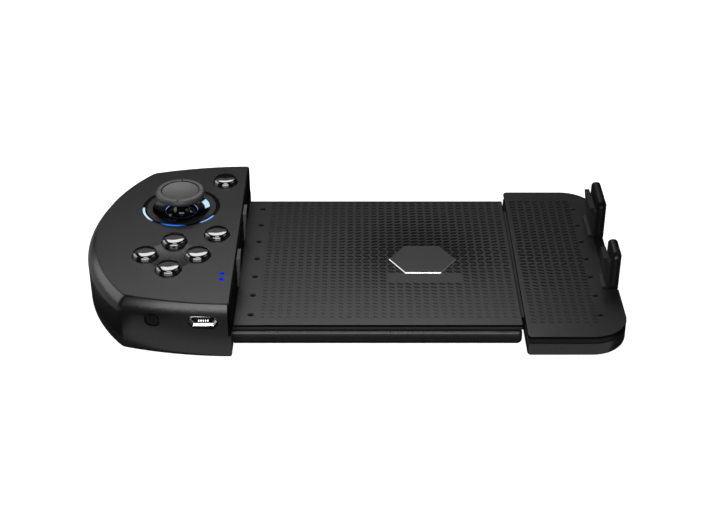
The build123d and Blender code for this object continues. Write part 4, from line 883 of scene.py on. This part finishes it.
def make_port_contacts(low, high):
    """Five slanted contact blades in the port's mouth."""
    size, pitch = (0.4 * MM, 0.3 * MM, 1.5 * MM), 0.72 * MM
    lean = Matrix.Rotation(math.radians(-32), 3, "X")
    port_wall = 0.35 * MM
    inset, rise = 0.7 * MM, port_wall + 0.72 * MM
    middle = (low + high) / 2
    bm = bmesh.new()
    for index in range(5):
        blade = bmesh.ops.create_cube(bm, size=1.0)["verts"]
        bmesh.ops.scale(bm, verts=blade, vec=size)
        bmesh.ops.rotate(bm, verts=blade, cent=(0, 0, 0), matrix=lean)
        shift = (middle.x + (index - 2) * pitch, low.y + inset, low.z + rise)
        bmesh.ops.translate(bm, verts=blade, vec=shift)
    bmesh.ops.bevel(
        bm, geom=bm.edges[:], offset=0.06 * MM, offset_type="OFFSET", affect="EDGES",
        segments=2, profile=0.5, material=-1,
    )
    place_piece(bm, "port_contacts", [], "nickel", 40, body="root")


# Where the relief lies, in millimetres: x from the wall, and y
RELIEF_START_X, RELIEF_REACH_Y = 7, 40.5
RELIEF_PEAK, RELIEF_SPREAD = (62, 4), (30, 26)
BARE_BAND_X, BARE_BAND_Y = (48.4, 74.7), (-15.7, -9)
END_RELIEF_X = (95, 117.5)
FRONT_Y, FRONT_LENGTH = -2, 35
# The triangles' size from 0 to 1: far from the peak, and what the peak and the end piece add
# and the front takes off
FAR_SHARE, PEAK_SHARE, END_SHARE, FRONT_SHARE = 0.36, 0.5, 0.12, 0.12
# Between these, in metres, the rows lean by turns
TURNS_LOW, TURNS_HIGH = -6 * MM, 8 * MM
# The sizes of the triangles are told apart in this many steps, and the smallest are left out
SHARE_STEPS, SMALLEST_STEP = 25, 5


def relief_share(x, y):
    """How large a triangle is at a place, from 0 to 1: x from the wall and y, in millimetres."""
    if x < RELIEF_START_X or abs(y) > RELIEF_REACH_Y:
        return 0
    away_x = (x - RELIEF_PEAK[0]) / RELIEF_SPREAD[0]
    away_y = (y - RELIEF_PEAK[1]) / RELIEF_SPREAD[1]
    share = FAR_SHARE + PEAK_SHARE * math.exp(-(away_x**2) - away_y**2)
    if y < FRONT_Y:
        share -= FRONT_SHARE * (FRONT_Y - y) / FRONT_LENGTH
    if x > END_RELIEF_X[0]:
        share += END_SHARE
    return share


def from_wall(place):
    """A place's x from the wall and its y, in millimetres."""
    return (place.x - WALL_X) / MM, place.y / MM


def cut_relief(bm, sizes, columns, rows, start_x, start_y, skip):
    """Cuts pairs of triangles into a flat plate. Each pair is a leaning cell, split and sunk."""
    half, width = sizes.cell_length / 2, sizes.cell_width
    last = 2 * columns
    cut_lines(bm, 0, [start_x + half * i for i in range(last + 2)])
    cut_lines(bm, 1, [start_y + width * j for j in range(rows + 1)])
    split_rectangles(bm, sizes, last, rows, start_x, start_y)
    join_cells(bm, sizes, last, rows, start_x, start_y)
    cell_area = sizes.cell_length * width
    groups = {}
    for face in bm.faces:
        if abs(face.calc_area() / cell_area - 1) > 0.02:
            continue
        middle = face.calc_center_median_weighted()
        share = 0 if skip(middle) else relief_share(*from_wall(middle))
        step = round(share * SHARE_STEPS)
        if step >= SMALLEST_STEP:
            groups.setdefault(step, []).append(face)
    for step, faces in groups.items():
        sink_pairs(bm, faces, step / SHARE_STEPS, sizes)


def grid_place(middle, sizes, start_x, start_y):
    """A place's column of half cells, as a fraction, and its row in the relief's grid."""
    row = round((middle.y - start_y) / sizes.cell_width - 0.5)
    return (middle.x - start_x) / (sizes.cell_length / 2), row


def split_rectangles(bm, sizes, last, rows, start_x, start_y):
    """Splits every other rectangle of the grid along the diagonal that its row leans on."""
    for face in list(bm.faces):
        across, row = grid_place(face.calc_center_median(), sizes, start_x, start_y)
        column = round(across - 0.5)
        inside = 0 <= column <= last and 0 <= row < rows and len(face.verts) == 4
        if inside and column % 2 == 0:
            leaning = row_leans(row, start_y, sizes)
            corners = by_row(face)
            ends = (corners[0], corners[3]) if leaning else (corners[1], corners[2])
            bmesh.utils.face_split(face, *ends)


def join_cells(bm, sizes, last, rows, start_x, start_y):
    """Takes out the grid's lines along y, so that halves and rectangles join into leaning cells."""
    walls = []
    for edge in bm.edges:
        a, b = (vert.co for vert in edge.verts)
        along_y = abs(a.x - b.x) < 1e-6 and abs(a.y - b.y) > 1e-6
        across, row = grid_place((a + b) / 2, sizes, start_x, start_y)
        inside = 0 < round(across) < last + 1 and 0 <= row < rows
        if along_y and inside and len(edge.link_faces) == 2:
            walls.append(edge)
    bmesh.ops.dissolve_edges(bm, edges=walls, use_verts=False, use_face_split=False)


def by_row(face):
    """A face's corners from the front to the back, and from left to right in each row."""
    middle = face.calc_center_bounds().y
    return sorted(face.verts, key=lambda v: (v.co.y > middle, v.co.x))


def row_leans(row, start_y, sizes):
    """Whether a row's pairs lean back: they do behind the middle, and by turns near it."""
    middle = start_y + (row + 0.5) * sizes.cell_width
    if TURNS_LOW < middle < TURNS_HIGH:
        return row % 2 == 0
    return middle > 0


def sink_pairs(bm, faces, share, sizes):
    """Splits each cell into two triangles, shrinks both, draws them together and sinks them."""
    triangles, middles = [], []
    for face in faces:
        corners = by_row(face)
        low, high = corners[:3], corners[3:]
        leaning = low[0].co.x < high[0].co.x
        ends = (low[2], high[0]) if leaning else (low[0], high[2])
        split = bmesh.utils.face_split(face, *ends)[0]
        triangles += [face, split]
        middles += [(ends[0].co + ends[1].co) / 2] * 2
    side = math.hypot(sizes.cell_length / 2, sizes.cell_width)
    inner = sizes.cell_length * sizes.cell_width / (sizes.cell_length + 2 * side)
    margin = (1 - share) * inner
    bmesh.ops.inset_individual(bm, faces=triangles, thickness=margin, use_even_offset=True)
    for face, middle in zip(triangles, middles):
        towards = (middle - face.calc_center_median()).normalized()
        bmesh.ops.translate(bm, verts=face.verts[:], vec=towards * margin * 0.75)
    walls = bmesh.ops.inset_individual(
        bm, faces=triangles, thickness=0.06 * MM, depth=-sizes.relief_depth,
        use_even_offset=True,
    )["faces"]
    # The triangles and their walls take the relief finish, whose colour is painted shade.
    for face in triangles + walls:
        face.material_index = 1


def thicken_plate(bm, depth, edge_round):
    """Gives a flat plate its sides, its rounded top edge and its underside."""
    rim = [edge for edge in bm.edges if len(edge.link_faces) == 1]
    made = bmesh.ops.extrude_edge_only(bm, edges=rim)["geom"]
    # The new sides take the third finish, near-black: a painted shadow line under the plate's edge.
    for part in made:
        if isinstance(part, bmesh.types.BMFace):
            part.material_index = 2
    low = [part for part in made if isinstance(part, bmesh.types.BMVert)]
    bmesh.ops.translate(bm, verts=low, vec=(0, 0, -depth))
    bmesh.ops.bevel(
        bm, geom=rim, offset=edge_round, offset_type="OFFSET",
        affect="EDGES", segments=4, profile=0.5, material=-1, clamp_overlap=True,
    )
    open_edges = [edge for edge in bm.edges if len(edge.link_faces) == 1]
    bmesh.ops.holes_fill(bm, edges=open_edges, sides=0)
    bmesh.ops.recalc_face_normals(bm, faces=bm.faces[:])


class CONTROLLER_OT_bed(bpy.types.Operator):
    """Makes the bed's tray and its skin with the relief of triangles"""

    bl_idname = "controller.bed"
    bl_label = "Bed"

    def execute(self, context):
        sizes = context.scene.controller_sizes
        smooth_node("bed_tray", "shell_lower", 30)
        bm = top_face(BED_LOW, BED_HIGH)

        def skip(place):
            x, y = from_wall(place)
            in_x = BARE_BAND_X[0] < x < BARE_BAND_X[1]
            return in_x and BARE_BAND_Y[0] < y < BARE_BAND_Y[1]

        start_x, start_y = BED_LOW.x + 7.1 * MM, -36.6 * MM
        cut_relief(bm, sizes, 30, 39, start_x, start_y, skip)
        thicken_plate(bm, BED_HIGH.z - BED_LOW.z, sizes.edge_round)
        # The third finish paints shade on the skin's sides.
        finishes = ("face_matte", "relief_matte", "shade_black")
        place_piece(bm, "bed_skin_relief", ["bed_skin"], "face_matte", 20, finishes=finishes)
        return {"FINISHED"}


class CONTROLLER_OT_badge(bpy.types.Operator):
    """Makes the six-sided plate on the bed"""

    bl_idname = "controller.badge"
    bl_label = "Badge plate"

    def execute(self, context):
        bm = copy_node("badge_plate")
        for face in bm.faces:
            face.normal_update()
            if 0.2 < face.normal.z < 0.95:
                face.material_index = 1
        finishes = ("badge", "badge_edge")
        place_piece(
            bm, "badge_plate_pressing", ["badge_plate"], "badge", 20, finishes=finishes,
        )
        return {"FINISHED"}


class CONTROLLER_OT_end_piece(bpy.types.Operator):
    """Makes the end piece's tray, band and skin"""

    bl_idname = "controller.end_piece"
    bl_label = "End piece"

    def execute(self, context):
        sizes = context.scene.controller_sizes
        smooth_node("end_tray", "shell_lower", 30)
        smooth_node("end_band", "claw_satin", 30, finishes=("band_black",))
        bm = top_face(END_LOW, END_HIGH)
        free_corner, inner_corner = 12 * MM, 1.2 * MM
        for side, radius, segments in ((END_HIGH.x, free_corner, 16), (END_LOW.x, inner_corner, 4)):
            corners = [vert for vert in bm.verts if abs(vert.co.x - side) < 1e-6]
            bmesh.ops.bevel(
                bm, geom=corners, offset=radius, offset_type="OFFSET", affect="VERTICES",
                segments=segments, profile=0.5, material=-1,
            )
        strip_low, strip_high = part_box("claw_strip")
        notch_x, notch_low, notch_high = strip_low.x - SEAM, strip_low.y - SEAM, strip_high.y + SEAM
        cut_lines(bm, 0, (notch_x,))
        cut_lines(bm, 1, (notch_low, notch_high), notch_x)
        taken = []
        for face in bm.faces:
            middle = face.calc_center_median()
            if middle.x > notch_x and notch_low < middle.y < notch_high:
                taken.append(face)
        bmesh.ops.delete(bm, geom=taken, context="FACES")

        def skip(place):
            x, _ = from_wall(place)
            return not END_RELIEF_X[0] < x < END_RELIEF_X[1]

        start_x, start_y = END_LOW.x + 0.5 * MM, -39.6 * MM
        cut_relief(bm, sizes, 8, 41, start_x, start_y, skip)
        thicken_plate(bm, END_HIGH.z - END_LOW.z, sizes.edge_round)
        # The third finish paints shade on the skin's sides.
        finishes = ("face_matte", "relief_matte", "shade_black")
        place_piece(bm, "end_skin_relief", ["end_skin"], "face_matte", 20, finishes=finishes)
        return {"FINISHED"}


class CONTROLLER_OT_claws(bpy.types.Operator):
    """Smooths the claws' frames, cores, pads and pins"""

    bl_idname = "controller.claws"
    bl_label = "Claws"

    def execute(self, context):
        smooth_node("claw_strip", "claw_satin")
        smooth_node("claw_pins", "steel")
        for side in ("rear", "front"):
            smooth_node(f"claw_frame_{side}", "claw_satin", 30)
            smooth_node(f"claw_core_{side}", "inner_plastic")
            smooth_node(f"claw_pad_{side}", "pad_rubber", finishes=("claw_pad",))
        return {"FINISHED"}


# The camera's place, as solved from the photo, in metres
CAMERA_PLACE = (0.00307, -0.4088, 0.2632)
SENSOR_WIDTH = 36
MIDDLE = (0, 0, 0.01)
# Name, place and aim in metres, width and height in metres, and how bright the panel looks
LAMPS = (
    ("back", (-0.03, 0.26, 0.34), MIDDLE, 0.3, 0.18, 3.0),
    ("low_back", (-0.02, 0.4, 0.27), MIDDLE, 0.5, 0.06, 0.2),
    ("near_front", (-0.03, -0.25, 0.085), MIDDLE, 0.32, 0.11, 2.7),
    ("high_front", (0, -0.4, 0.7), MIDDLE, 0.4, 0.15, 5.0),
    ("left", (-0.55, 0.12, 0.2), MIDDLE, 0.5, 0.4, 1.3),
    ("right", (0.6, 0, 0.38), MIDDLE, 0.4, 0.3, 0.6),
    ("floor_front", (0.03, -0.16, 0.0005), (0.03, -0.16, 1), 0.2, 0.2, 0.12),
    ("floor_left", (-0.19, 0.02, 0.0005), (-0.19, 0.02, 1), 0.18, 0.2, 0.25),
    ("floor_strip", (0.007, -0.0525, 0.0005), (0.007, -0.0525, 1), 0.176, 0.011, 0.36),
)


class CONTROLLER_OT_studio(bpy.types.Operator):
    """Sets the pale floor, the light dome, the lamps and the camera"""

    bl_idname = "controller.studio"
    bl_label = "Studio"

    def execute(self, context):
        studio = context.scene.studio_settings
        make_floor()
        make_surroundings(studio.ambient)
        for *place, glow in LAMPS:
            make_lamp(*place, glow * studio.lamps)
        camera = bpy.data.cameras.new("photo_camera")
        camera.lens = studio.lens
        camera.sensor_width = SENSOR_WIDTH
        camera.clip_start, camera.clip_end = 0.01, 10
        holder = bpy.data.objects.new("photo_camera", camera)
        holder.location = CAMERA_PLACE
        holder.rotation_euler = (studio.pitch, 0, 0)
        context.scene.collection.objects.link(holder)
        context.scene.camera = holder
        context.scene.view_settings.view_transform = "Standard"
        return {"FINISHED"}


def make_floor():
    """A pale floor that the camera sees and that throws no light back."""
    bm = bmesh.new()
    bmesh.ops.create_grid(bm, x_segments=1, y_segments=1, size=3.0)
    mesh = bpy.data.meshes.new("pale_floor")
    bm.to_mesh(mesh)
    bm.free()
    floor = bpy.data.objects.new("pale_floor", mesh)
    bpy.context.scene.collection.objects.link(floor)
    finish = Finish("pale_floor", (0.8, 0.8, 0.8), 0.9, specular=0.0)
    finish.set("Emission Color", (1, 1, 1, 1))
    finish.set("Emission Strength", 1.0)
    mesh.materials.append(finish.material)
    floor.visible_glossy = False
    floor.visible_diffuse = False


def make_surroundings(strength):
    """Faint even light from all sides, and a pale backdrop where the camera sees it."""
    world = bpy.data.worlds.new("studio_surroundings")
    world.use_nodes = True
    bpy.context.scene.world = world
    tree = world.node_tree
    faint = tree.nodes["Background"]
    faint.inputs["Color"].default_value = (1, 1, 1, 1)
    faint.inputs["Strength"].default_value = strength
    pale = tree.nodes.new("ShaderNodeBackground")
    pale.inputs["Color"].default_value = (1, 1, 1, 1)
    seen = tree.nodes.new("ShaderNodeLightPath")
    chosen = tree.nodes.new("ShaderNodeMixShader")
    tree.links.new(seen.outputs["Is Camera Ray"], chosen.inputs["Fac"])
    tree.links.new(faint.outputs["Background"], chosen.inputs[1])
    tree.links.new(pale.outputs["Background"], chosen.inputs[2])
    tree.links.new(chosen.outputs["Shader"], tree.nodes["World Output"].inputs["Surface"])


def make_lamp(name, place, aim, width, height, glow):
    """A soft panel at a place, turned to face its aim."""
    lamp = bpy.data.lights.new(name, "AREA")
    lamp.shape = "RECTANGLE"
    lamp.size, lamp.size_y = width, height
    lamp.energy = glow * math.pi * width * height
    made = bpy.data.objects.new(name, lamp)
    made.location = place
    made.rotation_euler = (Vector(place) - Vector(aim)).to_track_quat("Z", "Y").to_euler()
    made.visible_camera = False
    bpy.context.scene.collection.objects.link(made)


# ------------------------------------------------------------------ panel and run


OPERATORS = (
    CONTROLLER_OT_finishes, CONTROLLER_OT_grip_shell, CONTROLLER_OT_ring, CONTROLLER_OT_stick,
    CONTROLLER_OT_buttons, CONTROLLER_OT_small_parts, CONTROLLER_OT_port, CONTROLLER_OT_bed,
    CONTROLLER_OT_badge, CONTROLLER_OT_end_piece, CONTROLLER_OT_claws, CONTROLLER_OT_studio,
)
GROUPS = (
    ("controller_colours", ControllerColours),
    ("controller_sizes", ControllerSizes),
    ("studio_settings", StudioSettings),
)


class CONTROLLER_PT_panel(bpy.types.Panel):
    """Lists the controller's sizes, colours and pieces"""

    bl_idname = "CONTROLLER_PT_panel"
    bl_label = "Phone controller"
    bl_space_type = "VIEW_3D"
    bl_region_type = "UI"
    bl_category = "Controller"

    def draw(self, context):
        for group, kind in GROUPS:
            column = self.layout.column(align=True)
            for name in kind.__annotations__:
                column.prop(getattr(context.scene, group), name)
        column = self.layout.column(align=True)
        for operator in OPERATORS:
            column.operator(operator.bl_idname)


CLASSES = (*(kind for _, kind in GROUPS), *OPERATORS, CONTROLLER_PT_panel)


def register():
    for kind in CLASSES:
        bpy.utils.register_class(kind)
    for name, kind in GROUPS:
        setattr(bpy.types.Scene, name, bpy.props.PointerProperty(type=kind))


def unregister():
    for name, _ in GROUPS:
        delattr(bpy.types.Scene, name)
    for kind in reversed(CLASSES):
        bpy.utils.unregister_class(kind)


def main():
    register()
    for operator in OPERATORS:
        group, name = operator.bl_idname.split(".")
        getattr(getattr(bpy.ops, group), name)()


if __name__ == "__main__":
    main()
